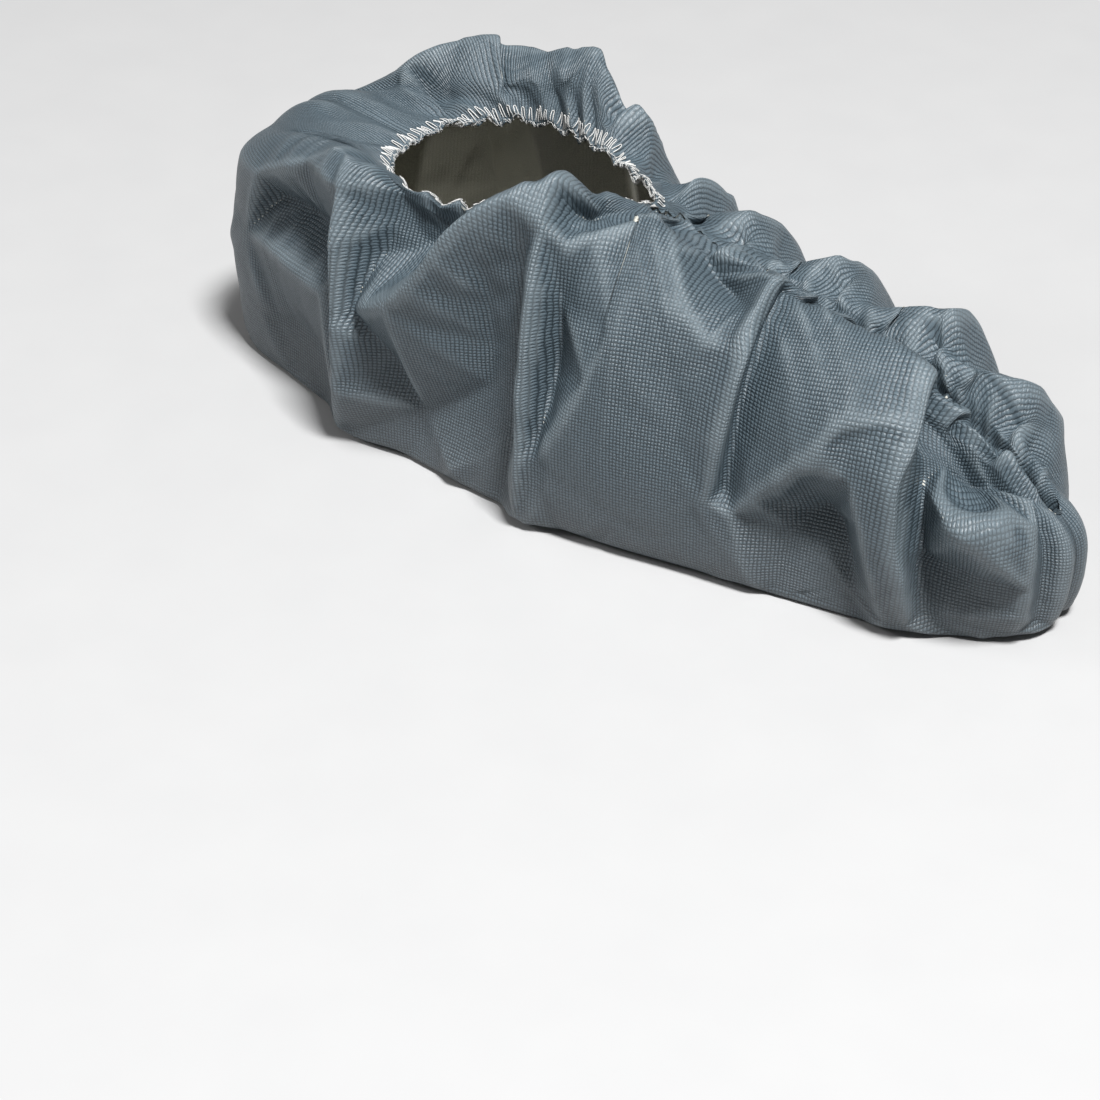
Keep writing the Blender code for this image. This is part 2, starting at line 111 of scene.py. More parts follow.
# Where the folds run out: shares of the run at the heel and toe seams and of the rise above the sole
# and below the rim, the shallower valleys above the shoulder, and the crumples' sharper creases.
END_FADE = 0.035
SOLE_FADE = 0.08
RIM_STRIP = 0.03
RIM_FADE = 0.14
SHALLOW_RISE = 0.88
SHALLOW_SHARE = 0.5
CRUMPLE_SHARPNESS = 0.6
# How the laps calm the pleats beside them, and the slopes between which a lap gives way to the cloth.
CALM_SHARE = 0.9
CALM_WIDTH = 1.5
LAP_GUARD = (0.1, 0.8)
LAP_POINTS = 12
# How the pleats lean, how they end at the seams, and how they turn upright at the raw edge.
PLEAT_LEAN = 0.8
SEAM_BLEND = (-0.004, 0.010)
HEEL_END = 0.008
TOE_END = 0.020
UPRIGHT_REACH = 0.004
# The cloth drawn in along the seams and raised on the sole's one, each as depth and half width.
SEAM_PINCH = (0.0030, 0.0028)
SOLE_SEAM = (0.0007, 0.0016)
SEAM_GAP = 0.00002
FLOOR_GAP = 0.00001
TOUCHING = 1e-9
# Height of the ground edge on the cloth's map, and what the crest attribute is measured by.
MAP_GROUND = 0.08
CREST_RADIUS = 0.0025
CREST_HEIGHT = 0.0007
# The rows from whose distance to the rim the spacing at the edge is worked out.
EDGE_ROWS = 8
# A direction that no thread runs in, from which the rings of the thin tubes are turned.
TUBE_SIDE = (0.31, 0.17, 0.93)


class Section(NamedTuple):
    """One section of the half shell, at a share of its run from the heel seam (0) to the toe seam (1)."""

    share: float  # of the panel's run
    sole: float  # middle of the sole, share of the sole's length from the heel
    ahead: float  # ground edge, share of the sole's length from the heel
    out: float  # ground edge, share of half of the sole's width
    belly: float  # swell of the wall, share of the full swell
    turn: float  # place on the opening, in half turns from its toe end (0) to its heel end (1)
    seam: float  # place on the instep seam, share from the opening (0) to the toe (1)
    rim: float  # height of the rim or seam, share of the rim's height
    right: float  # height of the right shell's shoulder, share of the full height
    left: float  # height of the left shell's shoulder, share of the full height
    inward: float  # shoulder's place between ground edge (0) and rim (1)


SECTIONS = (
    Section(0.00, 0.14, -0.01, 0.00, 0.70, 1.00, 0.00, 0.96, 0.86, 0.86, 0.38),
    Section(0.06, 0.15, 0.00, 0.38, 0.50, 0.90, 0.00, 0.95, 0.86, 0.79, 0.38),
    Section(0.16, 0.19, 0.10, 0.63, 0.50, 0.79, 0.00, 0.94, 0.91, 0.89, 0.42),
    Section(0.27, 0.28, 0.24, 0.84, 0.33, 0.67, 0.00, 0.95, 0.88, 0.96, 0.50),
    Section(0.38, 0.37, 0.36, 0.94, 0.33, 0.50, 0.00, 0.97, 0.87, 1.00, 0.50),
    Section(0.47, 0.45, 0.45, 0.98, 0.33, 0.34, 0.00, 1.00, 0.98, 0.82, 0.50),
    Section(0.53, 0.51, 0.52, 0.98, 0.33, 0.17, 0.00, 1.03, 0.98, 0.78, 0.54),
    Section(0.58, 0.56, 0.57, 0.95, 0.30, 0.00, 0.00, 1.03, 0.92, 0.79, 0.60),
    Section(0.69, 0.67, 0.68, 0.84, 0.22, 0.00, 0.30, 0.93, 0.85, 0.77, 0.66),
    Section(0.78, 0.76, 0.79, 0.74, 0.33, 0.00, 0.50, 0.83, 0.77, 0.74, 0.66),
    Section(0.87, 0.85, 0.89, 0.61, 0.44, 0.00, 0.71, 0.69, 0.67, 0.67, 0.64),
    Section(0.94, 0.91, 0.97, 0.37, 0.55, 0.00, 0.88, 0.54, 0.53, 0.51, 0.60),
    Section(1.00, 0.93, 1.01, 0.00, 0.67, 0.00, 1.00, 0.37, 0.38, 0.38, 0.50),
)


class Fold(NamedTuple):
    """A ridge (depth above 0) or a valley through three places on the cloth.

    A place is a share of the panel's run and a share of its rise, and a depth is a share of the
    full fold depth, outwards from the unfolded shell.
    """

    name: str
    run_a: float
    rise_a: float
    depth_a: float
    run_b: float
    rise_b: float
    depth_b: float
    run_c: float
    rise_c: float
    depth_c: float


RIGHT_FOLDS = (
    Fold("heel shoulder ridge", 0.140, 0.66, 0.5, 0.196, 0.73, 0.8, 0.235, 0.84, 1.0),
    Fold("heel shoulder hollow", 0.110, 0.80, -0.3, 0.156, 0.86, -0.9, 0.200, 0.92, -0.4),
    Fold("heel facet valley", 0.148, 0.62, -0.5, 0.200, 0.61, -0.9, 0.255, 0.60, -0.2),
    Fold("heel facet ridge", 0.120, 0.55, 0.1, 0.195, 0.55, 0.3, 0.262, 0.54, 0.3),
    Fold("heel lower facet", 0.130, 0.38, -0.2, 0.180, 0.42, -0.6, 0.226, 0.38, -0.4),
    Fold("heel corner ridge", 0.240, 0.84, 1.1, 0.281, 0.60, 1.2, 0.257, 0.30, 0.5),
    Fold("scoop brow", 0.240, 0.86, 0.9, 0.300, 0.90, 0.1, 0.362, 0.90, -0.1),
    Fold("scoop cheek", 0.300, 0.80, -0.2, 0.302, 0.72, -0.5, 0.296, 0.64, -0.4),
    Fold("scoop lip, heel end", 0.288, 0.56, 0.4, 0.310, 0.58, 0.8, 0.348, 0.61, 1.1),
    Fold("scoop lip", 0.348, 0.61, 1.1, 0.425, 0.71, 1.3, 0.498, 0.79, 1.1),
    Fold("scoop floor", 0.322, 0.66, -0.8, 0.366, 0.73, -1.2, 0.440, 0.82, -0.9),
    Fold("ankle wall facet", 0.310, 0.52, 0.0, 0.344, 0.44, -0.5, 0.400, 0.32, 0.0),
    Fold("ankle wall hollow", 0.448, 0.66, 0.1, 0.440, 0.52, -0.8, 0.430, 0.36, -0.3),
    Fold("ankle ridge", 0.500, 0.79, 1.1, 0.506, 0.60, 0.8, 0.496, 0.30, 0.4),
    Fold("ankle ridge shade side", 0.484, 0.68, 0.0, 0.478, 0.54, -0.7, 0.470, 0.34, -0.4),
    Fold("pocket lip", 0.510, 0.70, 0.5, 0.552, 0.74, 0.5, 0.613, 0.84, 0.5),
    Fold("pocket floor", 0.516, 0.78, -0.5, 0.542, 0.81, -0.9, 0.575, 0.88, -0.5),
    Fold("instep facet valley", 0.524, 0.64, -0.2, 0.522, 0.56, -0.6, 0.516, 0.48, -0.2),
    Fold("instep facet ridge", 0.626, 0.74, 0.6, 0.578, 0.60, 0.6, 0.514, 0.43, 0.2),
    Fold("instep fullness", 0.668, 0.58, 0.3, 0.662, 0.48, 0.3, 0.650, 0.36, 0.1),
    Fold("lit ridge", 0.620, 0.83, 0.3, 0.655, 0.70, 0.6, 0.696, 0.67, 0.5),
    Fold("lit ridge hollow", 0.648, 0.84, -0.4, 0.674, 0.77, -0.8, 0.698, 0.74, 0.0),
    Fold("overlap lip", 0.716, 0.88, 0.3, 0.711, 0.70, 0.7, 0.698, 0.47, 0.3),
    Fold("overlap valley", 0.728, 0.88, -0.3, 0.724, 0.70, -0.1, 0.711, 0.48, -0.2),
    Fold("toe bulge", 0.745, 0.71, 0.3, 0.792, 0.74, 0.7, 0.846, 0.80, 0.8),
    Fold("toe bulge lower edge", 0.722, 0.46, 0.2, 0.768, 0.56, 0.8, 0.812, 0.65, 1.2),
    Fold("toe bulge front edge", 0.814, 0.64, 0.9, 0.838, 0.51, 0.6, 0.858, 0.33, 0.2),
    Fold("toe bulge facet", 0.764, 0.44, -0.5, 0.798, 0.50, -0.9, 0.828, 0.38, -0.3),
    Fold("toe pleat lip", 0.868, 0.86, 0.5, 0.863, 0.65, 1.0, 0.877, 0.34, 0.2),
    Fold("toe pleat valley", 0.880, 0.86, -0.3, 0.875, 0.66, -0.8, 0.889, 0.36, -0.2),
    Fold("toe cap lip", 0.888, 0.61, 0.5, 0.915, 0.60, 1.3, 0.938, 0.65, 0.7),
    Fold("toe cap recess", 0.894, 0.69, -0.8, 0.918, 0.69, -1.2, 0.940, 0.73, -0.8),
    Fold("toe cap ridge", 0.957, 0.72, 0.3, 0.957, 0.55, 0.4, 0.957, 0.34, 0.1),
    Fold("toe cap crease", 0.972, 0.74, -0.3, 0.972, 0.57, -0.5, 0.972, 0.36, -0.2),
)

LEFT_FOLDS = (
    Fold("brow", 0.102, 0.80, 0.4, 0.154, 0.80, 0.7, 0.203, 0.81, 0.9),
    Fold("second brow", 0.203, 0.81, 0.9, 0.284, 0.80, 0.5, 0.358, 0.81, 0.6),
    Fold("front brow", 0.358, 0.81, 0.6, 0.398, 0.82, 0.0, 0.434, 0.84, 0.5),
    Fold("first ruffle", 0.080, 0.96, 0.1, 0.086, 0.90, 0.4, 0.096, 0.82, 0.2),
    Fold("first ruffle hollow", 0.120, 0.96, -0.3, 0.132, 0.90, -0.8, 0.150, 0.86, -0.5),
    Fold("second ruffle", 0.205, 0.96, 0.1, 0.204, 0.89, 0.6, 0.203, 0.81, 0.9),
    Fold("second ruffle hollow", 0.235, 0.96, -0.2, 0.240, 0.90, -0.7, 0.246, 0.86, -0.3),
    Fold("third ruffle hollow", 0.305, 0.96, -0.2, 0.326, 0.90, -0.6, 0.342, 0.86, -0.3),
    Fold("third ruffle", 0.346, 0.96, 0.1, 0.353, 0.89, 0.4, 0.358, 0.81, 0.6),
    Fold("fourth ruffle hollow", 0.400, 0.96, -0.2, 0.404, 0.89, -0.7, 0.405, 0.85, -0.4),
    Fold("fourth ruffle", 0.430, 0.96, 0.1, 0.433, 0.90, 0.4, 0.434, 0.84, 0.5),
    Fold("heel wall ridge", 0.140, 0.72, 0.4, 0.122, 0.54, 0.3, 0.112, 0.33, 0.1),
    Fold("heel wall hollow", 0.178, 0.70, -0.3, 0.166, 0.50, -0.6, 0.146, 0.36, -0.2),
    Fold("second wall ridge", 0.204, 0.73, 0.5, 0.226, 0.56, 0.4, 0.258, 0.34, 0.2),
    Fold("second wall hollow", 0.262, 0.72, -0.3, 0.292, 0.58, -0.6, 0.322, 0.42, -0.3),
    Fold("third wall ridge", 0.340, 0.72, 0.2, 0.372, 0.56, 0.5, 0.382, 0.40, 0.2),
    Fold("third wall hollow", 0.424, 0.74, -0.4, 0.412, 0.60, -0.6, 0.424, 0.46, -0.2),
    Fold("fourth wall ridge", 0.452, 0.72, 0.1, 0.458, 0.46, 0.3, 0.440, 0.30, 0.1),
    Fold("ankle front hollow", 0.474, 0.92, -0.3, 0.488, 0.78, -0.6, 0.502, 0.58, -0.4),
    Fold("instep ruffle", 0.518, 0.93, 0.2, 0.526, 0.80, 0.5, 0.520, 0.40, 0.2),
    Fold("instep hollow", 0.556, 0.90, -0.4, 0.566, 0.74, -0.6, 0.590, 0.56, -0.3),
    Fold("second instep ruffle", 0.622, 0.88, 0.2, 0.628, 0.76, 0.5, 0.610, 0.38, 0.2),
    Fold("second instep hollow", 0.664, 0.88, -0.4, 0.674, 0.74, -0.6, 0.688, 0.58, -0.3),
    Fold("third instep ruffle", 0.716, 0.88, 0.3, 0.724, 0.77, 0.5, 0.732, 0.50, 0.3),
    Fold("third instep hollow", 0.764, 0.88, -0.4, 0.770, 0.75, -0.4, 0.760, 0.56, -0.3),
    Fold("toe ruffle", 0.826, 0.88, 0.3, 0.836, 0.77, 0.7, 0.806, 0.42, 0.2),
    Fold("toe hollow", 0.862, 0.88, -0.4, 0.872, 0.74, -0.4, 0.872, 0.50, -0.3),
    Fold("second toe ruffle", 0.896, 0.86, 0.3, 0.904, 0.73, 0.6, 0.906, 0.40, 0.2),
    Fold("second toe hollow", 0.944, 0.84, -0.2, 0.956, 0.70, -0.4, 0.950, 0.44, -0.3),
)


class Lap(NamedTuple):
    """A fold whose lip is carried over the hollow beside it, along a line through three places.

    The lip lies to the right of the line's direction and the hollow to its left.
    """

    name: str
    run_a: float
    rise_a: float
    run_b: float
    rise_b: float
    run_c: float
    rise_c: float
    reach: float  # metres that the lip moves over the hollow, and the hollow under the lip
    width: float  # metres from the line to the lip, and to the hollow
    lift: float  # metres that the lip rises, and the hollow sinks


RIGHT_LAPS = (
    Lap("scoop lip", 0.320, 0.60, 0.425, 0.735, 0.492, 0.81, 0.0050, 0.0044, 0.0020),
    Lap("ankle ridge", 0.484, 0.34, 0.494, 0.58, 0.491, 0.76, 0.0026, 0.0032, 0.0012),
    Lap("pocket lip", 0.514, 0.72, 0.550, 0.757, 0.588, 0.825, 0.0024, 0.0036, 0.0016),
    Lap("instep lap", 0.722, 0.90, 0.7175, 0.70, 0.705, 0.46, 0.0050, 0.0036, 0.0021),
    Lap("toe bulge lower edge", 0.815, 0.63, 0.770, 0.54, 0.728, 0.45, 0.0020, 0.0034, 0.0010),
    Lap("toe pleat", 0.874, 0.90, 0.869, 0.66, 0.883, 0.34, 0.0044, 0.0044, 0.0020),
    Lap("toe cap lip", 0.888, 0.63, 0.915, 0.630, 0.938, 0.675, 0.0046, 0.0040, 0.0020),
    Lap("first seam flap", 0.622, 0.96, 0.615, 0.90, 0.606, 0.83, 0.0034, 0.0032, 0.0022),
    Lap("second seam flap", 0.652, 0.83, 0.660, 0.90, 0.664, 0.96, 0.0030, 0.0032, 0.0022),
    Lap("third seam flap", 0.748, 0.97, 0.744, 0.90, 0.735, 0.84, 0.0036, 0.0034, 0.0024),
    Lap("fourth seam flap", 0.792, 0.97, 0.785, 0.91, 0.774, 0.85, 0.0034, 0.0032, 0.0022),
    Lap("fifth seam flap", 0.838, 0.86, 0.846, 0.92, 0.850, 0.97, 0.0030, 0.0032, 0.0020),
    Lap("sixth seam flap", 0.908, 0.96, 0.902, 0.87, 0.897, 0.77, 0.0036, 0.0032, 0.0022),
    Lap("seventh seam flap", 0.936, 0.79, 0.941, 0.87, 0.944, 0.95, 0.0030, 0.0030, 0.0020),
)

LEFT_LAPS = (
    Lap("first ruffle", 0.104, 0.95, 0.110, 0.89, 0.124, 0.80, 0.0030, 0.0034, 0.0014),
    Lap("second ruffle", 0.220, 0.95, 0.222, 0.88, 0.226, 0.78, 0.0036, 0.0036, 0.0016),
    Lap("third ruffle", 0.350, 0.78, 0.340, 0.87, 0.330, 0.95, 0.0016, 0.0038, 0.0014),
    Lap("fourth ruffle", 0.422, 0.79, 0.419, 0.87, 0.418, 0.95, 0.0034, 0.0034, 0.0016),
    Lap("instep flap", 0.546, 0.78, 0.540, 0.87, 0.537, 0.95, 0.0034, 0.0034, 0.0022),
    Lap("first seam flap", 0.606, 0.96, 0.600, 0.88, 0.590, 0.77, 0.0036, 0.0034, 0.0024),
    Lap("second seam flap", 0.640, 0.77, 0.648, 0.88, 0.652, 0.96, 0.0030, 0.0032, 0.0020),
    Lap("third seam flap", 0.700, 0.96, 0.694, 0.87, 0.686, 0.75, 0.0036, 0.0034, 0.0024),
    Lap("fourth seam flap", 0.740, 0.75, 0.748, 0.87, 0.752, 0.96, 0.0030, 0.0032, 0.0020),
    Lap("fifth seam flap", 0.808, 0.96, 0.802, 0.86, 0.794, 0.73, 0.0036, 0.0034, 0.0024),
    Lap("sixth seam flap", 0.846, 0.74, 0.852, 0.86, 0.856, 0.95, 0.0030, 0.0032, 0.0020),
    Lap("seventh seam flap", 0.890, 0.95, 0.884, 0.83, 0.878, 0.69, 0.0034, 0.0032, 0.0022),
    Lap("eighth seam flap", 0.924, 0.70, 0.930, 0.83, 0.934, 0.94, 0.0030, 0.0030, 0.0020),
)


def steps(values: np.ndarray, low: float, high: float) -> np.ndarray:
    """Smooth step: 0 up to low, 1 from high on, and a cubic with level ends between them."""
    t = np.clip((values - low) / (high - low), 0.0, 1.0)
    return t * t * (3 - 2 * t)


def parabola(rows: Sequence[Sequence[float]], count: int) -> np.ndarray:
    """Points on the parabola that passes through three rows of numbers at 0, 1/2 and 1.

    Args:
        rows: the three rows, of any number of values each.
        count: how many points to give.

    Returns:
        Array of count rows.
    """
    a, b, c = (np.array(row, float) for row in rows)
    t = np.linspace(0, 1, count)[:, None]
    return a * (1 - t) * (1 - 2 * t) + b * 4 * t * (1 - t) + c * t * (2 * t - 1)


@dataclass
class HalfShell:
    """The unfolded half shell as a surface of two shares: run, heel to toe, and rise, sole to rim."""

    side: Side
    sizes: Sizes = SIZES

    def column(self, name: str, runs: np.ndarray, end_slope: float = 0.0) -> np.ndarray:
        """One column of the section table as a smooth curve, with cubic pieces between the rows.

        Args:
            name: the column.
            runs: shares of the run.
            end_slope: slope at both ends, as a share of the slope of the piece there.

        Returns:
            The column's value at each share.
        """
        knots = np.array([section.share for section in SECTIONS])
        values = np.array([getattr(section, name) for section in SECTIONS])
        slopes = np.gradient(values, knots)
        pieces = np.diff(values) / np.diff(knots)
        slopes[0] = end_slope * pieces[0]
        slopes[-1] = end_slope * pieces[-1]
        left = np.clip(np.searchsorted(knots, runs, side="right") - 1, 0, len(knots) - 2)
        span = knots[left + 1] - knots[left]
        t = (runs - knots[left]) / span
        return (
            (2 * t**3 - 3 * t**2 + 1) * values[left]
            + (t**3 - 2 * t**2 + t) * span * slopes[left]
            + (3 * t**2 - 2 * t**3) * values[left + 1]
            + (t**3 - t**2) * span * slopes[left + 1]
        )

    def rim(self, runs: np.ndarray) -> np.ndarray:
        """Plan of the rim and instep seam: an egg with its full end at the heel, then a straight line."""
        size = self.sizes
        angle = math.pi * np.clip(self.column("turn", runs, 1.0), 0.0, 1.0)
        angle = np.where(runs >= size.seam_start, 0.0, angle)
        heel_end = -size.sole_length / 2 + size.opening_setback
        toe_end = size.sole_length / 2 - size.seam_end_setback
        opening_end = heel_end + size.opening_length
        seam = np.clip(self.column("seam", runs, 1.0), 0.0, 1.0)
        along = np.where(runs > size.seam_start, seam, 0.0)
        ahead = opening_end - size.opening_length / 2 * (1 - np.cos(angle))
        ahead = ahead + along * (toe_end - opening_end)
        out = size.opening_width / 2 * np.sin(angle) * (1 - size.egg * np.cos(angle))
        return np.stack([ahead, out], axis=-1)

    def rings(self, runs: np.ndarray) -> np.ndarray:
        """Nine control rings, from the sole's middle over ground edge and shoulder to the rim."""
        size = self.sizes
        nothing = np.zeros_like(runs)
        middle = np.stack([(self.column("sole", runs) - 0.5) * size.sole_length, nothing], axis=-1)
        ahead = (self.column("ahead", runs) - 0.5) * size.sole_length
        out = np.maximum(self.column("out", runs, 1.4), 0.0) * size.sole_width / 2
        edge = np.stack([ahead, out], axis=-1)
        rim = self.rim(runs)
        outward = edge - middle
        outward /= np.linalg.norm(outward, axis=-1, keepdims=True)
        swell = outward * (self.column("belly", runs) * size.belly)[:, None]
        shoulder = edge + (rim - edge) * self.column("inward", runs)[:, None]
        top = self.column(self.side.name.lower(), runs) * size.shoulder_height
        plan_and_height = (
            (middle, nothing),
            (middle + (edge - middle) * size.sole_flat, nothing),
            (edge - outward * size.sole_edge_inset, nothing),
            (edge + outward * 0.001 + swell * 0.25, 0.10 * top),
            (edge + (shoulder - edge) * 0.10 + swell, 0.42 * top),
            (edge + (shoulder - edge) * 0.38 + swell * 1.2, 0.80 * top),
            (shoulder + outward * 0.001, 1.03 * top),
            (rim + (shoulder - rim) * 0.45, 1.00 * top),
            (rim, self.column("rim", runs) * size.rim_height),
        )
        return np.stack([np.column_stack([plan, up]) for plan, up in plan_and_height])

    def surface(self, runs: np.ndarray, rises: np.ndarray) -> np.ndarray:
        """Quadratic B-spline across the rings, clamped at the first and the last.

        Args:
            runs: shares of the run, one for each column.
            rises: shares of the rise, one for each row.

        Returns:
            Points as rows, columns and x, y, z, with the seam plane at y = 0.
        """
        rings = self.rings(runs)
        spans = len(rings) - 2
        knots = np.concatenate([[0, 0], np.arange(spans + 1), [spans, spans]]).astype(float)
        at = np.clip(rises, 0, 1) * spans
        span = np.minimum(at.astype(int), spans - 1)
        knot = span + 2
        here = at - knots[knot]
        lead = (at - knots[knot - 1]) / (knots[knot + 1] - knots[knot - 1])
        trail = here / (knots[knot + 2] - knots[knot])
        weights = ((1 - lead) * (1 - here), lead * (1 - here) + (1 - trail) * here, trail * here)
        points = sum(weight[:, None, None] * rings[span + i] for i, weight in enumerate(weights))
        points[..., 1] *= self.side.value
        return points


class Cloth2D:
    """The cloth laid out flat, as run and rise in metres, on which fold lines are drawn."""

    def __init__(self, runs: np.ndarray, rises: np.ndarray, points: np.ndarray) -> None:
        """Takes the grid's shares and its unfolded points, whose mean lengths set the scale."""
        self.runs = runs
        self.rises = rises
        run = np.linalg.norm(np.diff(points, axis=1), axis=-1).sum(axis=1).mean()
        rise = np.linalg.norm(np.diff(points, axis=0), axis=-1).sum(axis=0).mean()
        self.lengths = np.array([run, rise])
        self.across, self.up = np.meshgrid(runs * run, rises * rise)

    def frame_line(self, count: int = 24) -> np.ndarray:
        """Places round the folded part of the cloth where every fold has run out."""
        low = SIZES.sole_rise
        share = np.linspace(0, 1, count, endpoint=False)
        sides = (
            (share, np.full_like(share, low)),
            (np.ones_like(share), low + share * (1 - low)),
            (1 - share, np.ones_like(share)),
            (np.zeros_like(share), 1 - share * (1 - low)),
        )
        return np.concatenate([np.column_stack([run, rise, 0 * run]) for run, rise in sides])

    def facets(self, folds: Sequence[Fold]) -> np.ndarray:
        """Depth of the folds: flat triangles between the fold lines, as stiff cloth lies.

        Args:
            folds: the ridges and valleys.

        Returns:
            Depth at every grid point, as a share of the full fold depth.
        """
        places: list[list[float]] = []
        edges: list[tuple[int, int]] = []
        frame_places = self.frame_line()
        for line in [frame_places] + [parabola((f[1:4], f[4:7], f[7:10]), 6) for f in folds]:
            first = len(places)
            places.extend(line.tolist())
            edges += [(i, i + 1) for i in range(first, len(places) - 1)]
        edges.append((len(frame_places) - 1, 0))
        known = np.array(places)
        flat = known[:, :2] * self.lengths
        found, _, faces, sources, _, _ = delaunay_2d_cdt(flat.tolist(), edges, [], 0, 1e-7)
        corners = np.array([list(point) for point in found])
        nearest = [int(np.linalg.norm(flat - point, axis=1).argmin()) for point in corners]
        depth = np.array([known[near[0] if near else nearest[i], 2] for i, near in enumerate(sources)])
        result = np.zeros(self.across.shape)
        for face in faces:
            self.fill_facet(result, corners[list(face)], depth[list(face)])
        return result

    def fill_facet(self, result: np.ndarray, corners: np.ndarray, depth: np.ndarray) -> None:
        """Writes one flat triangle's depths at the grid points inside it, by shares of its corners."""
        (ax, ay), (bx, by), (cx, cy) = corners
        area = (bx - ax) * (cy - ay) - (cx - ax) * (by - ay)
        if abs(area) < 1e-12:
            return
        low, high = corners.min(axis=0) / self.lengths, corners.max(axis=0) / self.lengths
        first, last = np.searchsorted(self.runs, [low[0] - 1e-6, high[0] + 1e-6])
        bottom, top = np.searchsorted(self.rises, [low[1] - 1e-6, high[1] + 1e-6])
        part = (slice(bottom, top), slice(first, last))
        x, y = self.across[part] - ax, self.up[part] - ay
        b = (x * (cy - ay) - (cx - ax) * y) / area
        c = ((bx - ax) * y - x * (by - ay)) / area
        inside = (b >= -1e-6) & (c >= -1e-6) & (b + c <= 1 + 1e-6)
        value = depth[0] * (1 - b - c) + depth[1] * b + depth[2] * c
        result[part] = np.where(inside, value, result[part])

    def rounded(self, values: np.ndarray, radius: float) -> np.ndarray:
        """The values, each averaged over its neighbours by a bell curve of this radius in metres."""
        for axis, places in ((1, self.runs * self.lengths[0]), (0, self.rises * self.lengths[1])):
            weights = np.exp(-0.5 * ((places[:, None] - places[None, :]) / radius) ** 2)
            weights /= weights.sum(axis=1, keepdims=True)
            values = values @ weights.T if axis else weights @ values
        return values

    def beside(self, line: np.ndarray) -> tuple[np.ndarray, np.ndarray, np.ndarray]:
        """Where every grid point lies beside a line drawn on the cloth.

        Args:
            line: points of the line as shares of run and rise.

        Returns:
            Signed distance in metres, above 0 to the left of the line's direction, share along the
            line, and the unit vector across the line at the nearest piece.
        """
        flat = line * self.lengths
        best = np.full(self.across.shape, np.inf)
        signed, along = np.zeros_like(best), np.zeros_like(best)
        across = np.zeros((*best.shape, 2))
        for i, (a, b) in enumerate(zip(flat[:-1], flat[1:])):
            piece = b - a
            length = math.hypot(*piece)
            normal = np.array([-piece[1], piece[0]]) / length
            x, y = self.across - a[0], self.up - a[1]
            t = np.clip((x * piece[0] + y * piece[1]) / length**2, 0, 1)
            apart = np.hypot(x - t * piece[0], y - t * piece[1])
            nearer = apart < best
            sign = np.where(x * normal[0] + y * normal[1] < 0, -1.0, 1.0)
            best = np.where(nearer, apart, best)
            signed = np.where(nearer, sign * apart, signed)
            along = np.where(nearer, (i + t) / (len(flat) - 1), along)
            across = np.where(nearer[..., None], normal, across)
        return signed, along, across


@dataclass(frozen=True)
class Gathers:
    """Pleats that a seam or an elastic pulls together: ridges across its line that run out from it."""

    pitch: float
    depth: float
    reach: float
    seed: int
    unevenness: float = 0.35

    def heights(self, along: np.ndarray, away: np.ndarray, drift: float = 0.0) -> np.ndarray:
        """Height of the pleats: flat flanks from hollow to crest and back, whose spacing, depth and
        place of the crest between two hollows wander, and which fall off with the distance.

        Args:
            along: metres along the gathered line.
            away: metres from the line.
            drift: how far the pleats lean along the line, in pitches for each reach.

        Returns:
            Height in metres.
        """
        random = np.random.default_rng(self.seed)
        spans = self.pitch * (1 + self.unevenness * random.uniform(-1, 1, 400))
        knots = np.concatenate([[0.0], np.cumsum(spans)]) - 0.1
        count = np.arange(len(knots), dtype=float)
        strength = random.uniform(0.35, 1.0, len(knots))
        crests = random.uniform(0.25, 0.75, len(knots))
        place = along + drift * self.pitch * away / self.reach
        phase = np.interp(place, knots, count)
        size = np.interp(place, knots, strength)
        pleat = np.clip(phase.astype(int), 0, len(knots) - 1)
        share, crest = phase - pleat, crests[pleat]
        tent = np.where(share < crest, share / crest, (1 - share) / (1 - crest))
        return self.depth * size * (2 * tent - 1) * np.exp(-away / self.reach)


@dataclass(frozen=True)
class Crumple:
    """Short straight creases scattered over stiff cloth."""

    count: int
    depth: float
    width: float
    length: float
    seed: int

    def heights(self, cloth: Cloth2D) -> np.ndarray:
        """Sum of the creases: each is a tent across its line, and a bell curve along it."""
        random = np.random.default_rng(self.seed)
        total = np.zeros(cloth.across.shape)
        for _ in range(self.count):
            run, rise = random.uniform(0.02, 0.98), random.uniform(0.22, 0.95)
            angle = random.normal(0.5 * math.pi, 0.7)
            length = self.length * random.uniform(0.4, 1.4)
            width = self.width * random.uniform(0.6, 1.6)
            depth = self.depth * random.uniform(-1.0, 1.0)
            x, y = cloth.across - run * cloth.lengths[0], cloth.up - rise * cloth.lengths[1]
            along = (x * math.cos(angle) + y * math.sin(angle)) / length
            across = (y * math.cos(angle) - x * math.sin(angle)) / width
            total += depth * np.maximum(1 - np.abs(across), 0) * np.exp(-0.5 * (2.5 * along) ** 2)
        return total


def unit(vectors: np.ndarray) -> np.ndarray:
    """Vectors made one long."""
    return vectors / np.maximum(np.linalg.norm(vectors, axis=-1, keepdims=True), 1e-12)


def grid_normals(points: np.ndarray, side: Side) -> np.ndarray:
    """Unit normals of a grid of points, pointing out of the shoe."""
    return unit(np.cross(np.gradient(points, axis=1), np.gradient(points, axis=0)) * -side.value)


def row_lengths(points: np.ndarray, axis: int) -> np.ndarray:
    """Length from the first point of each line of a grid to each of its points, in metres."""
    pieces = np.linalg.norm(np.diff(points, axis=axis), axis=-1)
    start = np.zeros_like(np.take(pieces, [0], axis=axis))
    return np.concatenate([start, np.cumsum(pieces, axis=axis)], axis=axis)


